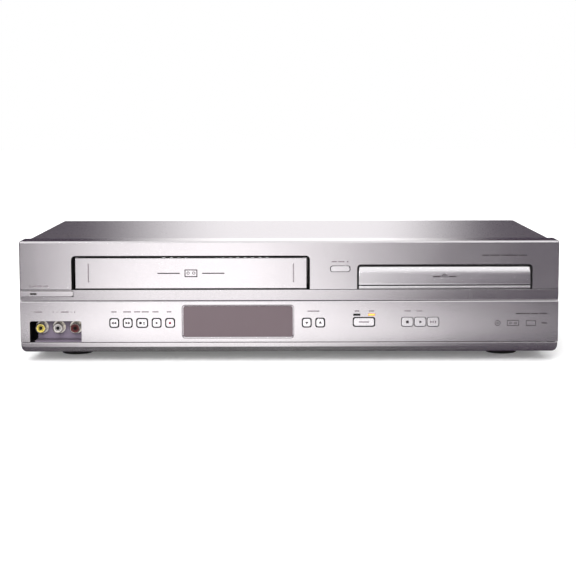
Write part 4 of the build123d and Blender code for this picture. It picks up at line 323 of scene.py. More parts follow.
def silver_paint(name, colour, gaps=(), roughness=0.22, bay=None):
    """Metallic lacquer sprayed on moulded ABS: aluminium flakes under a thin clear coat, a soft metal shine.
    The flakes are drawn 0.3 mm across, coarser than real ones so that they show. Inside the gaps the colour
    is painted near black, painted shade, and inside the bay a grey, painted shade."""
    material, tree, where = opened(name)
    flakes = add(tree, "ShaderNodeTexVoronoi", {"Vector": where, "Scale": 1 / (0.3 * MM)})
    cloud = add(tree, "ShaderNodeTexNoise", {"Vector": where, "Scale": 1 / (60 * MM), "Detail": 2.0})
    flake = add(tree, "ShaderNodeSeparateColor", {0: flakes.outputs["Color"]})
    light = add(tree, "ShaderNodeMapRange", {0: flake.outputs[0], 3: 0.94, 4: 1.05})
    tinted = {0: 1.0, 6: shade(colour), 7: light.outputs[0]}
    paint = add(tree, "ShaderNodeMix", tinted, data_type="RGBA", blend_type="MULTIPLY")
    gloss = {0: cloud.outputs["Fac"], 1: 0.3, 2: 0.7, 3: roughness - 0.02, 4: roughness + 0.03}
    rough = add(tree, "ShaderNodeMapRange", gloss)
    round_edge = add(tree, "ShaderNodeBevel", {"Radius": 0.25 * MM}, samples=4)
    bumps = {"Strength": 0.06, "Distance": 0.01 * MM, "Height": flake.outputs[1], "Normal": round_edge.outputs[0]}
    ripple = add(tree, "ShaderNodeBump", bumps)
    lacquer = {"Base Color": paint.outputs[2], "Metallic": 0.96, "Roughness": rough.outputs[0]}
    lacquer |= {"Normal": ripple.outputs[0], "Coat Weight": 0.25, "Coat Roughness": 0.12}
    shader = add(tree, "ShaderNodeBsdfPrincipled", lacquer)
    # Painted shade: a near black laid on every surface inside the gaps, for the shade that falls there.
    gap_shade_paint = {"Base Color": shade("#060506"), "Roughness": 0.8, "Specular IOR Level": 0.15}
    bare = add(tree, "ShaderNodeBsdfPrincipled", gap_shade_paint)
    for gap in gaps:
        here = {0: region(tree, where, **gap), 1: shader.outputs[0], 2: bare.outputs[0]}
        shader = add(tree, "ShaderNodeMixShader", here)
    # Painted shade: a grey over the bay round the front sockets, for the shade inside it.
    if bay:
        bay_shade_paint = {"Base Color": shade("#6B6270"), "Metallic": 0.3, "Roughness": 0.45}
        bay_shade_shader = add(tree, "ShaderNodeBsdfPrincipled", bay_shade_paint)
        here = {0: region(tree, where, **bay), 1: shader.outputs[0], 2: bay_shade_shader.outputs[0]}
        shader = add(tree, "ShaderNodeMixShader", here)
    add(tree, "ShaderNodeOutputMaterial", {"Surface": shader.outputs[0]})
    return material


SOCKETS = {
    "coat_weight": "Coat Weight", "coat_roughness": "Coat Roughness", "specular_IOR_level": "Specular IOR Level",
}  # fmt: skip


def finish(
    name, colour, metallic=0.0, roughness=0.5, grain=0.4, tint=0.05, relief=0.0, streak=(1, 1, 1), swing=0.05,
    **more,
):  # fmt: skip
    """One even finish with grain: noise of the given size in millimetres tints the colour, lets the roughness
    swing and lifts the surface by relief, in millimetres. streak stretches the grain along an axis, for rolled,
    brushed or turned metal."""
    material, tree, where = opened(name)
    laid = add(tree, "ShaderNodeMapping", {"Vector": where, "Scale": streak})
    noise = add(tree, "ShaderNodeTexNoise", {"Vector": laid.outputs[0], "Scale": 1 / (grain * MM), "Detail": 3.0})
    fac = noise.outputs["Fac"]
    tinted = {0: fac, 6: shade(colour, 1 - tint), 7: shade(colour, 1 + tint)}
    base = add(tree, "ShaderNodeMix", tinted, data_type="RGBA")
    gloss = {0: fac, 1: 0.3, 2: 0.7, 3: max(0.02, roughness - swing), 4: roughness + swing}
    rough = add(tree, "ShaderNodeMapRange", gloss)
    round_edge = add(tree, "ShaderNodeBevel", {"Radius": 0.2 * MM}, samples=4)
    bumps = {"Strength": 1.0, "Distance": relief * MM, "Height": fac, "Normal": round_edge.outputs[0]}
    bump = add(tree, "ShaderNodeBump", bumps)
    inputs = {"Base Color": base.outputs[2], "Metallic": metallic}
    inputs |= {"Roughness": rough.outputs[0], "Normal": bump.outputs[0]}
    inputs |= {SOCKETS[key]: value for key, value in more.items()}
    shader = add(tree, "ShaderNodeBsdfPrincipled", inputs)
    add(tree, "ShaderNodeOutputMaterial", {"Surface": shader.outputs[0]})
    return material


def zinc_plate(name, colour, roughness=0.38):
    """Electro-galvanised steel sheet: a dull bright metal with faint crystals some 6 mm across and fine lines
    from rolling."""
    material, tree, where = opened(name)
    crystals = add(tree, "ShaderNodeTexVoronoi", {"Vector": where, "Scale": 1 / (6 * MM)})
    crystal = add(tree, "ShaderNodeSeparateColor", {0: crystals.outputs["Color"]})
    laid = add(tree, "ShaderNodeMapping", {"Vector": where, "Scale": (0.05, 1, 1)})
    lines = add(tree, "ShaderNodeTexNoise", {"Vector": laid.outputs[0], "Scale": 1 / (0.5 * MM), "Detail": 2.0})
    light = add(tree, "ShaderNodeMapRange", {0: crystal.outputs[0], 3: 0.9, 4: 1.06})
    tinted = {0: 1.0, 6: shade(colour), 7: light.outputs[0]}
    base = add(tree, "ShaderNodeMix", tinted, data_type="RGBA", blend_type="MULTIPLY")
    rough = add(tree, "ShaderNodeMapRange", {0: crystal.outputs[1], 3: roughness - 0.08, 4: roughness + 0.08})
    bump = add(tree, "ShaderNodeBump", {"Strength": 0.4, "Distance": 0.01 * MM, "Height": lines.outputs["Fac"]})
    steel = {"Base Color": base.outputs[2], "Metallic": 1.0}
    steel |= {"Roughness": rough.outputs[0], "Normal": bump.outputs[0]}
    shader = add(tree, "ShaderNodeBsdfPrincipled", steel)
    add(tree, "ShaderNodeOutputMaterial", {"Surface": shader.outputs[0]})
    return material


def lit_lens(name, colour, glow):
    """A clear acrylic light pipe with a lamp behind it: it glows in its own colour, a little unevenly."""
    material, tree, where = opened(name)
    noise = add(tree, "ShaderNodeTexNoise", {"Vector": where, "Scale": 1 / (1.5 * MM)})
    light = add(tree, "ShaderNodeMapRange", {0: noise.outputs["Fac"], 3: glow * 0.85, 4: glow * 1.15})
    acrylic = {"Base Color": shade(colour), "Roughness": 0.2}
    acrylic |= {"Emission Color": shade(colour), "Emission Strength": light.outputs[0]}
    shader = add(tree, "ShaderNodeBsdfPrincipled", acrylic)
    add(tree, "ShaderNodeOutputMaterial", {"Surface": shader.outputs[0]})
    return material


MATERIALS = {}


def gap_regions():
    """Where painted shade covers the lacquer: the limits of each gap between the mouldings, and of the bay."""
    wide = (-0.2164, 0.2164)  # just inside the two end faces
    roof, sill, brow, ledge = 0.0989, 0.0181, 0.0503, 0.052  # heights of the mouldings' inner edges
    # Painted shade: near black on the walls of the holes and gaps of the upper front, and a dark line along the
    # crease.
    fascia = [
        {"depth": 0.5 * MM, "lean": 2 / 9, "x": wide, "z": (0, roof)},
        {"depth": 0.12 * MM, "z": around(CREASE, 0.2 * MM)},
    ]
    # Painted shade: near black inside the gaps of the control panel.
    panel = [
        {"depth": 0.5 * MM, "x": wide, "z": (sill, brow)},
        {"depth": 1.6 * MM, "x": wide, "z": (brow, ledge)},
        {"depth": 0.6 * MM, "x": wide, "z": (0, sill)},
    ]
    # Painted shade: near black in the disc door's groove, and on the sides of the key caps.
    door = [{"depth": 0.7 * MM, "z": (0.0625, 0.0638)}]  # the groove over the lip
    keys = [{"depth": CAP_FACE - FRONT + 0.5 * MM}]
    # Painted shade: grey over the bay round the front sockets.
    bay = {"depth": 0.5 * MM, "x": (-0.2062, -0.1679), "z": (0, 0.0336)}  # round the front sockets
    return fascia, panel, door, keys, bay


def moulded(name, colour, **more):
    """A smooth coloured insulator, moulded in one shade."""
    return finish(name, colour, **{"roughness": 0.35, "grain": 0.3, "tint": 0.03, **more})


def screen_ink(name, colour, **more):
    """Ink printed through a screen: matt and even."""
    return finish(name, colour, **{"roughness": 0.7, "grain": 0.2, "tint": 0.08, **more})


def bare_metal(name, colour, **more):
    """A bright bare metal, its grain 0.3 mm across."""
    return finish(name, colour, **{"metallic": 1.0, "grain": 0.3, "tint": 0.03, **more})


def make_materials(colours):
    """Every finish of the player, by a short name."""
    silver, key, cover = colours.silver, colours.key_silver, colours.cover
    fascia, panel, groove, caps, bay = gap_regions()
    MATERIALS.update(
        fascia=silver_paint("silver lacquer on upper front", silver, fascia),
        panel=silver_paint("silver lacquer on control panel", silver, panel, bay=bay),
        trim=silver_paint("silver lacquer on bottom trim", silver, roughness=0.15),
        door=silver_paint("silver lacquer on tape door", silver, roughness=0.2),
        disc_door=silver_paint("pale silver lacquer on disc door", key, groove, roughness=0.2),
        keys=silver_paint("pale silver lacquer on keys", key, caps),
        bar=silver_paint("silver lacquer on power bar", silver),
        # Stoved grey silver paint over steel sheet: a soft metal shine, with slight orange peel 2 mm across.
        cover=finish(
            "grey silver stoved paint", cover,
            metallic=0.94, roughness=0.28, grain=2.0, tint=0.006, relief=0.0004, swing=0.008,
        ),
        # Moulded black ABS with a fine spark-eroded grain, 0.5 mm.
        black=finish(
            "black moulded ABS", "#0E0D0E",
            roughness=0.55, grain=0.5, tint=0.15, relief=0.02, specular_IOR_level=0.3,
        ),
        # The same ABS, dead matt and darker: the slot frame, its black deepened as painted shade, and the painted
        # shade edges round the slots.
        matt_black=finish(
            "matt black slot frame", "#050505", roughness=0.85, grain=0.5, tint=0.15, specular_IOR_level=0.12
        ),
        # Smoked acrylic with a glossy surface over a dark mauve back print.
        window=finish(
            "smoked acrylic", colours.window,
            roughness=0.2, grain=3.0, tint=0.01, coat_weight=0.1, coat_roughness=0.06,
        ),
        # Unlit dark light pipe.
        smoked=finish("dark smoked light pipe", "#0D0A0C", roughness=0.12, grain=1.0, tint=0.1),
        lit=lit_lens("lit amber light pipe", colours.amber, 0.55),
        ink=screen_ink("dark screen-printed ink", colours.ink, specular_IOR_level=0.2),
        # Also laid as painted shade in the tape door's grooves and round the display window.
        label=screen_ink("grey screen-printed ink", colours.label_ink, specular_IOR_level=0.2),
        record=screen_ink("red screen-printed ink", colours.record_ink, roughness=0.5),
        zinc=zinc_plate("zinc plated steel sheet", "#BDBDB9"),
        chassis=zinc_plate("zinc plated chassis steel", "#B4B4AF", 0.42),
        # Nickel plated brass: bright, warm, turned round its axis.
        nickel=bare_metal("nickel plated shell", "#D5D0C8", roughness=0.16, streak=(1, 0.1, 1)),
        yellow=moulded("yellow moulded insulator", "#B3A24A"),
        white=moulded("white moulded insulator", "#9A9694"),
        red=moulded("dark red moulded insulator", "#4A1719", tint=0.04),
        green=moulded("green moulded insulator", "#3E8A55", tint=0.04),
        blue=moulded("blue moulded insulator", "#3458A0", tint=0.04),
        # Phenolic paper laminate: brown and mottled.
        board=finish("brown laminate board", "#8A6A3A", roughness=0.45, grain=1.6, tint=0.12, relief=0.02),
        # Wound, taped and moulded electrical parts.
        component=finish("black component bodies", "#1D1D20", roughness=0.42, grain=0.8, tint=0.15, relief=0.02),
        acetal=finish("natural acetal", "#E6E1D4", roughness=0.38, grain=1.0, tint=0.02),
        tray=finish("black moulded disc tray", "#161518", roughness=0.42, grain=0.6, tint=0.12, relief=0.01),
        # Diamond turned aluminium: bright with rings 0.05 mm apart, drawn 0.3 mm apart so that they show.
        drum=bare_metal("diamond turned aluminium", "#DCDCDD", roughness=0.2, streak=(0.05, 0.05, 1)),
        shaft=bare_metal("ground steel", "#C7C7C6", roughness=0.22, streak=(1, 1, 0.1)),
        screw=bare_metal("zinc plated screw", "#B9B7B0", roughness=0.3, tint=0.05),
        motor=bare_metal("plated motor can", "#C3C3BF", roughness=0.3, grain=0.4),
        # Moulded nitrile rubber: dull black, slightly dusty.
        rubber=finish("black moulded rubber", "#1B1A1A", roughness=0.8, grain=0.5, tint=0.2, relief=0.03),
        # Painted shade: near black for the depth of the socket mouths and the screws' crossed recesses.
        cavity=finish("painted shade in socket mouths and recesses", "#060606", roughness=0.6, grain=0.5, tint=0.2),
    )


DRESS = {
    "upper_fascia": "fascia", "control_panel": "panel", "bottom_trim": "trim", "tape_slot_frame": "matt_black",
    "tape_door": "door", "tape_door_spring": "shaft", "tray_door": "disc_door", "display_window": "window",
    "indicator_lenses": "smoked", "front_jack_shells": "nickel", "front_jack_yellow": "yellow",
    "front_jack_white": "white", "front_jack_red": "red", "front_board": "board", "top_cover": "cover",
    "chassis_base": "chassis", "rear_panel": "zinc", "feet": "rubber", "cover_screws": "screw",
    "rear_jacks": "component", "tuner_module": "zinc", "power_inlet": "component", "main_board": "board",
    "power_supply_parts": "component", "loader_frame": "black", "disc_tray": "tray", "tray_gear": "acetal",
    "motor_pinion": "acetal", "tray_motor": "motor", "traverse": "black", "turntable": "black",
    "optical_pickup": "component", "clamper": "black", "deck_plate": "chassis", "cassette_holder": "zinc",
    "cassette_slider": "zinc", "drum_base": "drum", "head_drum": "drum", "capstan": "shaft", "pinch_arm": "zinc",
    "pinch_roller": "rubber", "supply_reel": "acetal", "takeup_reel": "acetal", "tape_heads": "motor",
    "supply_guide": "shaft", "takeup_guide": "shaft", "loading_motor": "motor", "power_button": "bar",
}  # fmt: skip


def dress(*nodes):
    """Gives nodes of the frame their finish. A key that the table leaves out gets the keys' own."""
    for name in nodes:
        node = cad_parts[name]
        node.data.materials.clear()
        node.data.materials.append(MATERIALS[DRESS.get(name, "keys")])


# ---------------------------------------------------------------- the pieces


class PLAYER_OT_front(bpy.types.Operator):
    """Front mouldings in silver lacquer, with the bottom trim as one smooth convex strip, and black edges of
    painted shade round the slots.
    """

    bl_idname = "player.front"
    bl_label = "Front mouldings"

    def execute(self, context):
        dress("upper_fascia", "control_panel", "bottom_trim", "tape_slot_frame", "front_board")
        low, high = span("bottom_trim")
        ends, top, face = (low[0], high[0]), high[2], low[1]
        # Profile: straight down for 0.38 of the height, then a quarter ellipse: y = a(1 - cos t), z = -b sin t.
        t = np.linspace(0, math.pi / 2, 14)
        deep, curve, radius = 5.0 * MM, 0.62, 4.0 * MM
        edge, strip_back, cheek = 0.35 * MM, face + 9 * MM, 2.4 * MM

        def section(x):
            bottom = low[2] + corner_drop(x, ends, radius)
            drop = (top - bottom) * curve
            y = np.concatenate([[strip_back, face + edge, face], face + deep * (1 - np.cos(t)), [strip_back]])
            z = np.concatenate([[top, top, top - edge], bottom + drop - drop * np.sin(t), [bottom]])
            return np.stack([y, z], axis=1)

        strip = sweep([(x, section(x)) for x in corner_stations(ends, radius, 9)])
        cheeks = [
            bar((a, a + cheek), (low[2] + radius * 0.6, top), (face + 8.5 * MM, high[1]), 0.3 * MM, 2)
            for a in (ends[0], ends[1] - cheek)
        ]
        shape = joined([strip] + cheeks)
        piece("bottom_trim_strip", shape, MATERIALS["trim"], "case", ["bottom_trim"], angle=40)
        # Painted shade: black edges laid on the lacquer round the two slots.
        slot_edge("tape_slot_edge", TAPE_SLOT, TAPE_SLOT_TOP, SLOT_CORNER, (0.9 * MM, 0.4 * MM, 0.35 * MM))
        slot_edge("tray_slot_edge", DISC_SLOT, DISC_SLOT_TOP, SLOT_CORNER, (0.25 * MM, 0.25 * MM, 0.2 * MM))
        return {"FINISHED"}


def slot_edge(name, x, top, radius, margins):
    """The thin black edge round a slot's left, top and right side, 0.08 mm proud of the lacquer, painted shade
    along the slot's edge: an arch with quarter round corners. margins are its widths at the left, the right and
    the top."""
    left, right, over = margins
    corner = 10

    def arch(x, top, radius):
        two_corners = rounded(x, (0, top), radius, corner)[: 2 * corner]
        return np.concatenate([[(x[1], CREASE)], two_corners, [(x[0], CREASE)]])

    inner, outer = arch(x, top, radius), arch((x[0] - left, x[1] + right), top + over, radius + over)
    shape = prism(np.concatenate([outer, inner[::-1]]), FRONT - 0.08 * MM, FRONT + 0.02 * MM)
    piece(name, shape, MATERIALS["matt_black"], "case", smooth=False)


class PLAYER_OT_tape_door(bpy.types.Operator):
    """The flap of the cassette slot with its spring, a drawn cassette between two rules, and two scored grooves
    darkened with painted shade.
    """

    bl_idname = "player.tape_door"
    bl_label = "Tape door"

    def execute(self, context):
        dress("tape_door", "tape_door_spring")
        low, high = span("tape_door")
        face, x, z = TAPE_DOOR_FACE, (low[0] + high[0]) / 2, TAPE_SIGN_HEIGHT
        depths = (face - context.scene.player_sizes.print_height, face + 0.01 * MM)
        half, line, hub = (5.2 * MM, 3.0 * MM), 0.4 * MM, 1.25 * MM
        signs = rules(x, z, 9 * MM, 27 * MM, depths)
        for s in (-1, 1):
            signs.append(bar(around(x, half[0]), around(z + s * 2.7 * MM, line), depths))
            signs.append(bar(around(x + s * 4.8 * MM, line), around(z, half[1]), depths))
            signs.append(hoop(x + s * 2.3 * MM, z + 0.2 * MM, hub, 0.5 * MM, depths))
        piece("tape_door_pictogram", joined(signs), MATERIALS["ink"], "tape_flap", smooth=False)
        # Painted shade: dark bars in the two scored grooves.
        rise, depths = (high[2] - 26.8 * MM, high[2] - 11.6 * MM), (face - 0.03 * MM, face + 0.3 * MM)
        marks = [bar(around(m, 0.3 * MM), rise, depths) for m in (-162.0 * MM, 3.7 * MM)]
        piece("tape_door_groove_shade", joined(marks), MATERIALS["label"], "tape_flap", smooth=False)
        return {"FINISHED"}


class PLAYER_OT_disc_door(bpy.types.Operator):
    """The front of the disc tray: a smooth crowned bar with a groove over its lip, and a disc pictogram."""

    bl_idname = "player.disc_door"
    bl_label = "Disc door"

    def execute(self, context):
        sizes = context.scene.player_sizes
        low, high = span("tray_door")
        ends, bottom, top, back = (low[0], high[0]), low[2], high[2], high[1]
        groove, crown, radius = 2.2 * MM, sizes.crown, 1.4 * MM
        # Profile from the bottom up: lip, groove, ridge, a long shallow bow, and a quarter ellipse crown.
        g0, g1 = bottom + groove, bottom + groove + 0.7 * MM
        bow_start, shoulder = g1 + 0.8 * MM, top - crown
        lip = [(0.75, bottom), (0.55, bottom + 0.2 * MM), (0.5, bottom + 0.5 * MM)]
        lip += [(0.5, g0 - 0.25 * MM), (0.62, g0)]
        slot = [(1.3, g0 + 0.05 * MM), (1.3, g1), (0.35, g1 + 0.25 * MM), (0.18, g1 + 0.55 * MM)]
        t = np.linspace(0, 1, 12)
        bow = np.stack([0.15 + 0.3 * t**2, bow_start + (shoulder - bow_start) * t], axis=1)
        a = np.linspace(0, math.pi / 2, 14)[1:]
        cap = np.stack([0.45 + 1.15 * a**1.4, shoulder + crown * np.sin(a)], axis=1)
        face = np.concatenate([lip, slot, bow, cap]) * [MM, 1]
        profile = np.concatenate([[(back - FRONT, bottom)], face, [(back - FRONT, top)]])

        def section(x):
            z = profile[:, 1]
            share = (crown - corner_drop(x, ends, radius)) / crown
            lowered = np.where(z > shoulder, shoulder + (z - shoulder) * share, z)
            return np.stack([FRONT + profile[:, 0], lowered], axis=1)

        door = sweep([(x, section(x)) for x in corner_stations(ends, radius, 7)])
        silver = MATERIALS["disc_door"]
        piece("disc_door_bar", door, silver, "disc_drawer", ["tray_door"], angle=38)
        x, z = (low[0] + high[0]) / 2, DISC_SIGN_HEIGHT
        at = FRONT + (0.15 + 0.3 * ((z - bow_start) / (shoulder - bow_start)) ** 2) * MM
        depths = (at - sizes.print_height - 0.03 * MM, at + 0.1 * MM)
        signs = [hoop(x, z, 2.3 * MM, 0.6 * MM, depths), hoop(x, z, 0.9 * MM, 0.5 * MM, depths)]
        signs = joined(signs + rules(x, z, 3.4 * MM, 9.5 * MM, depths))
        piece("disc_door_pictogram", signs, MATERIALS["ink"], "disc_drawer", smooth=False)
        return {"FINISHED"}


def arrow(x, z, height, turn):
    """A triangle pointing along +X, turned by quarter turns anticlockwise: three corners 120 degrees apart."""
    a = np.array([0, 2, 4]) * math.pi / 3 + turn * math.pi / 2
    r = height / math.sqrt(3)
    return np.stack([x + r * np.cos(a), z + r * np.sin(a)], axis=1)


def key_signs(x, z, h):
    """The outlines of every key's symbol of height h, round the middle of its key."""
    fine = 0.1 * MM
    left, right = around(x, 0.42 * h)
    return {
        "rewind": [arrow(left, z, h, 2), arrow(right, z, h, 2)],
        "forward": [arrow(left, z, h, 0), arrow(right, z, h, 0)],
        "tape_stop": [
            rounded((x - 0.95 * h, x - 0.1 * h), around(z, 0.42 * h), fine, 2),
            arrow(x + 0.6 * h, z + 0.1 * h, 0.8 * h, 1),
            rounded((x + 0.2 * h, x + h), (z - 0.5 * h, z - 0.3 * h), fine / 2, 2),
        ],
        "tape_play": [arrow(x, z, h, 0)],
        "record": [disc_outline(x, z, 0.45 * h)],
        "channel_down": [arrow(x, z, h, 3)],
        "channel_up": [arrow(x, z, h, 1)],
        "source": [rounded(around(x, 4.2 * MM), around(z, 0.45 * MM), 0.3 * MM, 4)],
        "disc_stop": [rounded(around(x, 0.45 * h), around(z, 0.45 * h), fine, 2)],
        "disc_play": [arrow(x, z, h, 0)],
        "dubbing": [
            rounded(around(x + s * 0.75 * h, 0.22 * h), around(z, 0.36 * h), fine, 2) for s in (-1, 0, 1)
        ],
    }


class PLAYER_OT_keys(bpy.types.Operator):
    """All keys: lacquered caps with printed transport symbols, each riding on its own key."""

    bl_idname = "player.keys"
    bl_label = "Keys"

    def execute(self, context):
        sizes = context.scene.player_sizes
        near, far = CAP_FACE - sizes.print_height, CAP_FACE + 0.02 * MM
        for key in (*KEYS, "tray", "power"):
            dress(key + "_button")
        for key in KEYS:
            low, high = span(key + "_button")
            outlines = key_signs((low[0] + high[0]) / 2, (low[2] + high[2]) / 2, sizes.symbol)[key]
            ink = MATERIALS[{"record": "record", "dubbing": "label", "source": "label"}.get(key, "ink")]
            shape = joined([prism(outline, near, far) for outline in outlines])
            piece(key + "_symbol", shape, ink, key + "_button", smooth=False)
        return {"FINISHED"}


class PLAYER_OT_labels(bpy.types.Operator):
    """Small plain bars where a front has its labels, a standby sign, and four pictograms at the right."""

    bl_idname = "player.labels"
    bl_label = "Label bars"

    def execute(self, context):
        sizes = context.scene.player_sizes
        depths = (FRONT - sizes.print_height, FRONT + 0.02 * MM)
        half = sizes.label / 2
        # Each row is its middle height and its bars' (left, right), in millimetres.
        tape_keys = [(-143.9, -139.4), (-134.2, -127.7), (-125.5, -120.2)]
        tape_keys += [(-119.4, -113.3), (-110.6, -105.5), (-99.1, -95.1)]
        sockets = [(-205.9, -199.5), (-191.2, -190.3), (-184.6, -178.0), (-173.9, -173.0)]
        other_keys = [(14.6, 24.6), (52.7, 56.9), (64.4, 68.6), (93.0, 98.5), (102.5, 107.6)]
        small = [(LABEL_ROW, tape_keys), (LABEL_ROW, sockets), (42.6, other_keys)]
        small += [(82.7, [(34.2, 38.6), (39.6, 44.6)]), (63.3, [(-206.6, -199.6), (-198.6, -194.6)])]
        bold = [
            (40.4, [(183.0, 194.5), (195.6, 201.2), (202.3, 208.6)]),
            (87.7, [(155.4, 161.0), (162.0, 169.5), (170.5, 184.0), (185.0, 191.6)]),
        ]

        def bars(rows):
            """The bars of some rows, as flat shapes."""
            return [
                bar((a * MM, b * MM), around(z * MM, half), depths, half * 0.9) for z, row in rows for a, b in row
            ]

        marks = bars(small)
        marks.append(prism(arrow(47.2 * MM, 82.6 * MM, 1.7 * MM, 1), *depths))
        # Dashes beside the middle label of the sockets.
        for a, b in ((-188.6, -186.6), (-176.6, -174.8)):
            marks.append(bar((a * MM, b * MM), around(LABEL_ROW * MM, 0.15 * MM), depths, 0.1 * MM, 2))
        # Standby sign: a ring open at the top, and a stroke.
        x, z = -208.9 * MM, 63.3 * MM
        a = np.linspace(math.radians(125), math.radians(415), 26)
        outer, inner = (np.stack([x + r * np.cos(a), z + r * np.sin(a)], axis=1) for r in (0.95 * MM, 0.65 * MM))
        marks.append(prism(np.concatenate([outer, inner[::-1]]), *depths))
        marks.append(bar(around(x, 0.15 * MM), (z, z + 1.2 * MM), depths, 0.1 * MM, 2))
        piece("label_bars", joined(marks), MATERIALS["label"], "case", smooth=False)
        # Pictograms: a disc, a cassette, a small display frame and a plain bar.
        disc, cassette, display, z = 168.5 * MM, 181 * MM, 195.5 * MM, 32.6 * MM
        signs = bars(bold)
        signs += [hoop(disc, z, 2.3 * MM, 0.5 * MM, depths), hoop(disc, z, 0.9 * MM, 0.45 * MM, depths)]
        signs += box_sign(cassette, z, 4.6 * MM, 2.1 * MM, 0.5 * MM, depths)
        signs += [hoop(cassette + s * 2.0 * MM, z, 1.0 * MM, 0.4 * MM, depths) for s in (-1, 1)]
        signs += box_sign(display, z, 3.8 * MM, 2.1 * MM, 0.5 * MM, depths)
        signs.append(bar((204 * MM, 208.6 * MM), around(z, 0.4 * MM), depths, 0.3 * MM))
        piece("pictograms", joined(signs), MATERIALS["ink"], "case", smooth=False)
        return {"FINISHED"}


class PLAYER_OT_display(bpy.types.Operator):
    """The display window of smoked acrylic, a bevelled bezel and a dark rim of painted shade round it, and the
    light pipes.
    """

    bl_idname = "player.display"
    bl_label = "Display and lamps"

    def execute(self, context):
        dress("display_window", "indicator_lenses")
        low, high = span("display_window")
        left, right = low[0] + 1.85 * MM, high[0] - 1.85 * MM
        bottom, top = low[2] + 0.65 * MM, high[2] - 0.65 * MM
        bevel = 0.85 * MM
        outer = rounded((left, right), (bottom, top), 2.4 * MM)
        inner = rounded((left + bevel, right - bevel), (bottom + bevel, top - bevel), 1.7 * MM)
        wide = rounded((left - 0.55 * MM, right + 0.4 * MM), (bottom - 0.4 * MM, top + 0.55 * MM), 2.8 * MM)
        # Bezel: from the outer wall's front a chamfer down to the pane, and back.
        near, pane, far = FRONT + 0.15 * MM, FRONT + 0.55 * MM, FRONT + 0.62 * MM
        bezel = closed_frame([(outer, near), (inner, pane), (inner, far), (outer, far)])
        piece("display_bezel", bezel, MATERIALS["bar"], "case", angle=30)
        # Painted shade: a dark rim of grey ink round the bezel, a little wider at the left and the top, for the
        # shade at the cutout's edge.
        near, far = FRONT - 0.06 * MM, FRONT + 0.03 * MM
        rim = closed_frame([(wide, near), (outer, near), (outer, far), (wide, far)])
        piece("display_shade_rim", rim, MATERIALS["label"], "case", smooth=False)
        depths = (FRONT - 0.12 * MM, FRONT + 0.2 * MM)
        for name, x, glass in (("tape_lamp_lens", 54.7, "smoked"), ("disc_lamp_lens", 66.7, "lit")):
            shape = bar(around(x * MM, 2.65 * MM), around(LAMP_HEIGHT, 0.66 * MM), depths, 0.3 * MM, 4)
            piece(name, shape, MATERIALS[glass], "case", bevel=0.06 * MM)
        return {"FINISHED"}


class PLAYER_OT_sockets(bpy.types.Operator):
    """The three front sockets: rolled metal rims, coloured insulators and dark mouths of painted shade."""

    bl_idname = "player.sockets"
    bl_label = "Front sockets"

    def execute(self, context):
        dress("front_jack_shells", "front_jack_yellow", "front_jack_white", "front_jack_red")
        low = span("front_jack_shells")[0]
        # Rolled rim: a half circle of 0.42 mm over the shell's wall.
        a = np.linspace(0, math.pi, 9)
        rim = [(3.75 + 0.42 * math.cos(v), -0.42 * math.sin(v)) for v in a] + [(3.33, 0.6), (4.17, 0.6)]
        # Mouth: a dark ring round the bore, rising out of the insulator, with a shallow cup inside, painted shade
        # for the depth of the bore.
        mouth = [(2.35, 0.7), (2.35, 0.28), (2.2, 0.24), (1.55, 0.7), (0.0, 0.9), (0.0, 1.0)]
        centres = [(x * MM, low[1], low[2] + 6.4 * MM) for x in (-203.0, -189.0, -175.0)]
        rims, mouths = (joined([lathe(np.array(p) * MM, c) for c in centres]) for p in (rim, mouth))
        piece("front_socket_rims", rims, MATERIALS["nickel"], "case")
        piece("front_socket_mouths", mouths, MATERIALS["cavity"], "case", angle=30)
        return {"FINISHED"}


class PLAYER_OT_case(bpy.types.Operator):
    """Cover, base, rubber feet and screws, their crossed recesses drawn as painted shade."""

    bl_idname = "player.case"
    bl_label = "Cover and base"

    def execute(self, context):
        dress("top_cover", "chassis_base", "feet", "cover_screws")
        low, high = span("cover_screws")
        # A crossed recess drawn as two dark bars of painted shade on each head, turned a little differently from
        # screw to screw.
        arm = rounded((-2.0 * MM, 2.0 * MM), (-0.35 * MM, 0.35 * MM), 0.1 * MM, 2)
        rear_height, side_height = 90.0 * MM, 34.0 * MM

        def cross(u, v, face, turn):
            """Both bars round (u, v), each turned: u cos b - v sin b, u sin b + v cos b."""
            bars = []
            for b in (turn, turn + math.pi / 2):
                across = arm[:, 0] * math.cos(b) - arm[:, 1] * math.sin(b)
                rise = arm[:, 0] * math.sin(b) + arm[:, 1] * math.cos(b)
                bars.append(prism(np.stack([u + across, v + rise], axis=1), *around(face, 0.05 * MM)))
            return joined(bars)

        heads = [cross(x * MM, rear_height, high[1], 0.3 + 0.01 * x) for x in (-188.3, 0.0, 188.3)]
        for x in (low[0], high[0]):
            for y in (-0.04715, 0.07285):
                points, faces = cross(y, side_height, x, 0.5 + 9 * y)
                heads.append((points[:, [1, 0, 2]], faces))
        piece("screw_recesses", joined(heads), MATERIALS["cavity"], "case", smooth=False)
        return {"FINISHED"}


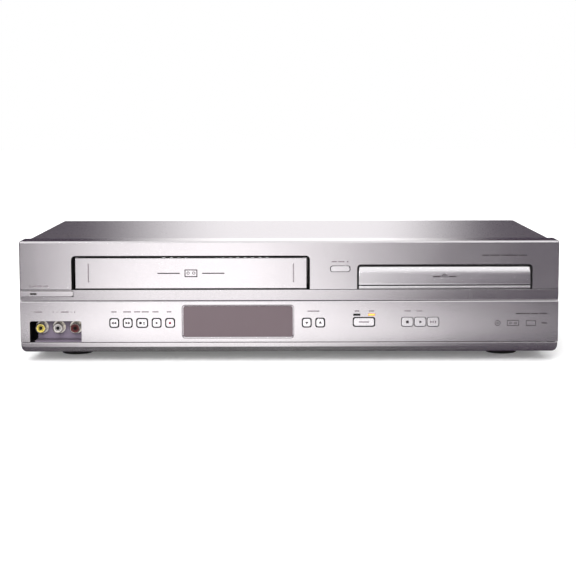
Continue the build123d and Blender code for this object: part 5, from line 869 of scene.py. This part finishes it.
class PLAYER_OT_rear(bpy.types.Operator):
    """The rear: zinc plated panel, socket blocks with coloured rings, aerial sockets and the mains inlet."""

    bl_idname = "player.rear"
    bl_label = "Rear panel"

    def execute(self, context):
        dress("rear_panel", "rear_jacks", "tuner_module", "power_inlet")
        end, panel = float(span("rear_jacks")[1][1]), float(span("rear_panel")[1][1])
        nickel, first, pitch = MATERIALS["nickel"], 73.45, 17
        # Sockets: a nickel sleeve round each post, and a coloured insulator with a bore in its mouth.
        # Each colour has its (column, height) places.
        colours = {
            "yellow": [(0, 50)], "white": [(1, 50), (1, 33)], "red": [(2, 50), (2, 33), (3, 33)],
            "green": [(3, 50)], "blue": [(4, 50)], "black": [(0, 33), (4, 33)],
        }  # fmt: skip
        sleeve = np.array([(3.5, -1.0), (3.9, 0.0), (4.15, 0.05), (4.35, -0.2), (4.35, -6.3), (3.5, -6.3)]) * MM
        insert = np.array([(1.6, -0.1), (1.9, 0.12), (3.3, 0.12), (3.5, -0.1), (3.5, -0.5), (1.6, -0.5)]) * MM
        sleeves = []
        for colour, places in colours.items():
            centres = [((first + pitch * column) * MM, end, rise * MM) for column, rise in places]
            sleeves += [lathe(sleeve, centre) for centre in centres]
            rings = joined([lathe(insert, centre) for centre in centres])
            piece("rear_sockets_" + colour, rings, MATERIALS[colour], "case")
        piece("rear_socket_sleeves", joined(sleeves), nickel, "case")
        # Aerial sockets: a rolled thread, its radius swinging by 0.12 mm every 0.8 mm, over the post.
        thread = [(4.78 + 0.12 * math.cos(2 * math.pi * v / 0.8), v) for v in np.linspace(0.3, 5.6, 54)]
        thread = np.array([(4.4, 0.1), *thread, (4.4, 5.8)]) * MM
        threads = [lathe(thread, (-191.3 * MM, panel, z * MM)) for z in (29.6, 47.6)]
        piece("aerial_threads", joined(threads), nickel, "case", angle=60)
        # Mains inlet: two plated pins with round ends, over the moulded ones.
        low, high = span("power_inlet")
        thick, tip, root = 1.3, 9.9, 3.2
        pin = [(thick * math.cos(v), tip + thick * math.sin(v)) for v in np.linspace(0, math.pi / 2, 7)]
        pin = np.array([*pin, (0.0, root), (thick, root)]) * MM
        pins = [lathe(pin, ((175.5 + s * 4.3) * MM, low[1], float(high[2]) - 7.0 * MM)) for s in (-1, 1)]
        piece("inlet_pins", joined(pins), nickel, "case")
        # Printed frames round the groups of sockets, with bars in place of captions.
        depths, line = (panel - 0.02 * MM, panel + 0.05 * MM), 0.6

        def strip(x0, x1, z0, z1):
            """A printed bar between limits in millimetres."""
            return bar((x0 * MM, x1 * MM), (z0 * MM, z1 * MM), depths, steps=2)

        groups = ((62.0, 153.0, 23.5, 63.0), (-208.0, -174.5, 21.0, 61.0), (160.5, 190.5, 24.5, 47.0))
        frames = []
        for x0, x1, z0, z1 in groups:
            frames += [strip(x0, x1, z0, z0 + line), strip(x0, x1, z1 - line, z1)]
            frames += [strip(x0, x0 + line, z0, z1), strip(x1 - line, x1, z0, z1)]
            frames.append(strip(x0, x1, z1 + 1.2, z1 + 2.0))
        frames += [strip(*around(first + pitch * n, 4), 59.2, 60.4) for n in range(5)]
        piece("rear_print", joined(frames), MATERIALS["ink"], "case", smooth=False)
        return {"FINISHED"}


def capacitor(r, h):
    """The sleeve of a smoothing capacitor with its rolled groove, and its lid, as (radius, height) profiles."""
    groove = [(r, 1.6), (r - 0.35, 2.0), (r - 0.35, 2.5), (r, 2.9)]
    sleeve = [(0, 0), (r, 0), *groove, (r, h - 0.6), (r - 0.6, h), (r - 1.2, h - 0.1), (0, h - 0.1)]
    lid = [(0, h - 0.15), (r - 1.15, h - 0.15), (r - 1.25, h + 0.02), (0, h + 0.02)]
    return sleeve, lid


def lying(x, y, corner, bottom, top):
    """A flat bar seen from above, between two limits in X and two in Y, from bottom to top."""
    points, faces = bar(x, y, (-top, -bottom), corner, 2)
    return points[:, [0, 2, 1]] * [1, 1, -1], faces


class PLAYER_OT_boards(bpy.types.Operator):
    """The main board with its capacitors and chips, and the power supply's parts."""

    bl_idname = "player.boards"
    bl_label = "Boards"

    def execute(self, context):
        dress("main_board", "power_supply_parts")
        top = float(span("main_board")[1][2])
        # Capacitors as (x, y, radius, height), and chips as (x, y, half length, half depth).
        cans = (
            (80, 40, 5, 20), (94, 38, 5, 20), (107, 42, 4, 14), (120, 38, 4, 14), (134, 41, 6.3, 22),
            (150, 40, 6.3, 22), (168, 44, 8, 24), (172, 68, 8, 24), (82, 86, 3.2, 11), (96, 88, 3.2, 11),
        )  # fmt: skip
        chips = ((88, 62, 9, 6), (112, 64, 12, 9), (142, 66, 8, 8))
        sleeves, lids = [], []
        for x, y, r, h in cans:
            for turned, profile in zip((sleeves, lids), capacitor(r, h)):
                turned.append(lathe(np.array(profile) * MM, (x * MM, y * MM, top), "Z", 28))
        piece("board_capacitors", joined(sleeves), MATERIALS["component"], "case")
        piece("capacitor_tops", joined(lids), MATERIALS["motor"], "case")
        bodies = []
        for x, y, half, depth in chips:
            rows, reach = around(y * MM, depth * MM), around(y * MM, (depth + 1.2) * MM)
            bodies.append(lying(around(x * MM, half * MM), rows, 0.4 * MM, top + 0.5 * MM, top + 2.4 * MM))
            for n in range(-4, 5):
                leg = around((x + n * half / 5) * MM, 0.3 * MM)
                bodies.append(lying(leg, reach, 0.1 * MM, top - 0.02 * MM, top + 0.9 * MM))
        piece("board_chips", joined(bodies), MATERIALS["component"], "case", smooth=False)
        return {"FINISHED"}


class PLAYER_OT_loader(bpy.types.Operator):
    """The disc loader: frame, tray, gears, motor, traverse, turntable, pickup and clamper."""

    bl_idname = "player.loader"
    bl_label = "Disc loader"

    def execute(self, context):
        dress("loader_frame", "disc_tray", "tray_gear", "motor_pinion", "tray_motor")
        dress("traverse", "turntable", "optical_pickup", "clamper")
        return {"FINISHED"}


class PLAYER_OT_deck(bpy.types.Operator):
    """The tape deck: plate, cassette holder and slider, drum, capstan, roller, reels, heads, guides and motor."""

    bl_idname = "player.deck"
    bl_label = "Tape deck"

    def execute(self, context):
        dress("deck_plate", "cassette_holder", "cassette_slider", "drum_base", "head_drum", "capstan")
        dress("pinch_arm", "pinch_roller", "supply_reel", "takeup_reel", "tape_heads")
        dress("supply_guide", "takeup_guide", "loading_motor")
        return {"FINISHED"}


# ---------------------------------------------------------------- the stage


def stage_sheet(name, corners, material, seen=True):
    """A flat four-cornered sheet of the stage. An unseen one shows only in reflections, as a studio flag does."""
    mesh = bpy.data.meshes.new(name)
    mesh.from_pydata(corners, [], [[0, 1, 2, 3]])
    sheet = bpy.data.objects.new(name, mesh)
    bpy.context.scene.collection.objects.link(sheet)
    mesh.materials.append(material)
    if not seen:
        sheet.visible_camera = sheet.visible_diffuse = sheet.visible_shadow = sheet.visible_transmission = False
    return sheet


def graded_card(name, rise, fall, low, peak, reach, centre):
    """A printed studio card, graded from dark over white to dark across its width, seen by reflections alone.
    Across is x·reach / |y - centre|, so that the bands fan out from one point. White climbs from low[0] between
    the two values of rise, and sinks to low[1] between the two of fall; peak is its brightest."""
    material, tree, where = opened(name)
    xyz = add(tree, "ShaderNodeSeparateXYZ", {0: where})
    away = add(tree, "ShaderNodeMath", {0: xyz.outputs[1], 1: centre}, operation="SUBTRACT")
    away = add(tree, "ShaderNodeMath", {0: away.outputs[0]}, operation="ABSOLUTE")
    across = add(tree, "ShaderNodeMath", {0: xyz.outputs[0], 1: away.outputs[0]}, operation="DIVIDE")
    across = add(tree, "ShaderNodeMath", {0: across.outputs[0], 1: reach}, operation="MULTIPLY")
    smooth = {"interpolation_type": "SMOOTHSTEP"}
    climb = {0: across.outputs[0], 1: rise[0], 2: rise[1], 3: low[0], 4: 1.0}
    up = add(tree, "ShaderNodeMapRange", climb, **smooth)
    sink = {0: across.outputs[0], 1: fall[0], 2: fall[1], 3: 1.0, 4: low[1]}
    down = add(tree, "ShaderNodeMapRange", sink, **smooth)
    level = add(tree, "ShaderNodeMath", {0: up.outputs[0], 1: down.outputs[0]}, operation="MULTIPLY")
    shades = {0: level.outputs[0], 6: (0.03, 0.016, 0.036, 1), 7: (peak, peak * 0.985, peak * 0.985, 1)}
    grade = add(tree, "ShaderNodeMix", shades, data_type="RGBA", clamp_result=False)
    glow = add(tree, "ShaderNodeEmission", {"Color": grade.outputs[2], "Strength": 1.0})
    add(tree, "ShaderNodeOutputMaterial", {"Surface": glow.outputs[0]})
    return material


class PLAYER_OT_stage(bpy.types.Operator):
    """White floor and room, graded cards and dark flags that only reflections see, soft lamps, and the camera."""

    bl_idname = "player.stage"
    bl_label = "Stage and camera"

    def execute(self, context):
        scene = context.scene
        world = bpy.data.worlds.new("white room")
        scene.world = world
        world.use_nodes = True
        tree = world.node_tree
        tree.nodes.clear()
        rays = add(tree, "ShaderNodeLightPath").outputs
        straight = {0: rays["Is Camera Ray"], 1: rays["Is Glossy Ray"]}
        seen = add(tree, "ShaderNodeMath", straight, operation="MAXIMUM")
        through = {0: seen.outputs[0], 1: rays["Is Transmission Ray"]}
        seen = add(tree, "ShaderNodeMath", through, operation="MAXIMUM")
        level = add(tree, "ShaderNodeMapRange", {0: seen.outputs[0], 3: 0.45, 4: 1.0})
        sky = add(tree, "ShaderNodeBackground", {"Color": (1, 1, 1, 1), "Strength": level.outputs[0]})
        add(tree, "ShaderNodeOutputWorld", {"Surface": sky.outputs[0]})

        # Paper that turns white with distance for the camera, and stays paper near the player.
        material, tree, where = opened("white studio paper")
        path = add(tree, "ShaderNodeLightPath")
        far = add(tree, "ShaderNodeVectorMath", {0: where}, operation="LENGTH")
        fade = {0: far.outputs["Value"], 1: 0.3, 2: 1.2, 3: 0.13, 4: 0.75}
        lift = add(tree, "ShaderNodeMapRange", fade, interpolation_type="SMOOTHSTEP")
        to_camera = {0: lift.outputs[0], 1: path.outputs["Is Camera Ray"]}
        lift = add(tree, "ShaderNodeMath", to_camera, operation="MULTIPLY")
        paper = add(tree, "ShaderNodeBsdfDiffuse", {"Color": (0.9, 0.9, 0.9, 1)})
        glow = add(tree, "ShaderNodeEmission", {"Color": (1, 1, 1, 1), "Strength": lift.outputs[0]})
        both = add(tree, "ShaderNodeAddShader", {0: paper.outputs[0], 1: glow.outputs[0]})
        add(tree, "ShaderNodeOutputMaterial", {"Surface": both.outputs[0]})
        stage_sheet("floor", [(-6, -6, 0), (6, -6, 0), (6, 6, 0), (-6, 6, 0)], material)

        # Each card's rise, fall, darkest and brightest, then how its bands fan out: reach and centre.
        ahead, behind = (1.26, 1.143), (1.377, -1.377)
        dark = (0.0, 0.0)
        low = graded_card("graded card on the floor", (-0.27, -0.13), (0.02, 0.24), (0.2, 0.12), 1.5, *ahead)
        front = graded_card("graded card in front", (-0.245, -0.1), (-0.06, 0.15), dark, 1.5, *ahead)
        back = graded_card("graded card behind", (-0.19, -0.05), (0.075, 0.185), dark, 1.29, *behind)
        band = graded_card("graded card before the foot", (-0.25, -0.1), (-0.04, 0.17), (0.06, 0.0), 1.12, *ahead)
        foot = graded_card("dark card at the foot", (-0.26, -0.1), (0.0, 0.2), dark, 0.1, *ahead)
        lifted, left, right = 0.002, -2.5, 2.5
        # Each card from a near depth to a far one, rising by a height.
        for name, material, near, far, height in (
            ("card_foot", foot, -0.05, -0.152, 0),
            ("card_band", band, -0.152, -0.235, 0),
            ("card_near", low, -0.235, -0.42, 0),
            ("card_far", front, -0.42, -1.6, 0),
            ("card_front", front, -1.6, -1.6, 0.4),
            ("card_back", back, 1.3, 1.3, 2.0),
        ):
            top = lifted + height
            corners = [(left, near, lifted), (right, near, lifted), (right, far, top), (left, far, top)]
            stage_sheet(name, corners, material, False)
        for name, x in (("flag_left", -0.8), ("flag_right", 0.8)):
            corners = [(x, -1.5, lifted), (x, 1.2, lifted), (x, 1.2, 0.9), (x, -1.5, 0.9)]
            stage_sheet(name, corners, foot, False)

        for name, place, aim, size, power in (
            ("key light", (-0.3, -1.9, 0.75), (0, 0, 0.02), 1.2, 90),
            ("top light", (0.0, -0.2, 1.7), (0, -0.2, 0), 1.6, 18),
        ):
            lamp = bpy.data.lights.new(name, "AREA")
            lamp.size, lamp.energy = size, power
            light = bpy.data.objects.new(name, lamp)
            scene.collection.objects.link(light)
            light.location = place
            light.rotation_euler = (Vector(aim) - Vector(place)).to_track_quat("-Z", "Y").to_euler()
            light.visible_glossy = False

        # The camera's place, its lens in millimetres and its turns in degrees, as fitted to the photo.
        eye, focal = (-0.000469, -1.377177, 0.207291), 98.283
        pitch, yaw, roll = math.radians(6.6034), math.radians(-0.0202), math.radians(-0.1072)
        forward = Vector((math.sin(yaw) * math.cos(pitch), math.cos(yaw) * math.cos(pitch), -math.sin(pitch)))
        right = Vector((math.cos(yaw), -math.sin(yaw), 0))
        up = right.cross(forward)
        right, up = right * math.cos(roll) + up * math.sin(roll), up * math.cos(roll) - right * math.sin(roll)
        lens = bpy.data.cameras.new("camera")
        lens.lens, lens.sensor_width = focal, 36.0
        camera = bpy.data.objects.new("camera", lens)
        scene.collection.objects.link(camera)
        turn = Matrix((right, up, -forward)).transposed().to_4x4()
        camera.matrix_world = Matrix.Translation(eye) @ turn
        scene.camera = camera
        scene.view_settings.view_transform = "Standard"
        return {"FINISHED"}


PIECES = (
    PLAYER_OT_front, PLAYER_OT_tape_door, PLAYER_OT_disc_door, PLAYER_OT_keys, PLAYER_OT_labels,
    PLAYER_OT_display, PLAYER_OT_sockets, PLAYER_OT_case, PLAYER_OT_rear, PLAYER_OT_boards, PLAYER_OT_loader,
    PLAYER_OT_deck, PLAYER_OT_stage,
)  # fmt: skip


class PLAYER_PT_pieces(bpy.types.Panel):
    """Lists the pieces and the values of the player."""

    bl_label = "Player"
    bl_idname = "PLAYER_PT_pieces"
    bl_space_type = "VIEW_3D"
    bl_region_type = "UI"
    bl_category = "Player"

    def draw(self, context):
        for group in (context.scene.player_colours, context.scene.player_sizes):
            for name in group.__annotations__:
                self.layout.prop(group, name)
        for step in PIECES:
            self.layout.operator(step.bl_idname)


CLASSES = (PlayerColours, PlayerSizes, *PIECES, PLAYER_PT_pieces)


def register():
    for kind in CLASSES:
        bpy.utils.register_class(kind)
    bpy.types.Scene.player_colours = bpy.props.PointerProperty(type=PlayerColours)
    bpy.types.Scene.player_sizes = bpy.props.PointerProperty(type=PlayerSizes)


def unregister():
    del bpy.types.Scene.player_sizes, bpy.types.Scene.player_colours
    for kind in reversed(CLASSES):
        bpy.utils.unregister_class(kind)


def main():
    register()
    make_materials(bpy.context.scene.player_colours)
    for step in PIECES:
        area, name = step.bl_idname.split(".")
        getattr(getattr(bpy.ops, area), name)()


if __name__ == "__main__":
    main()
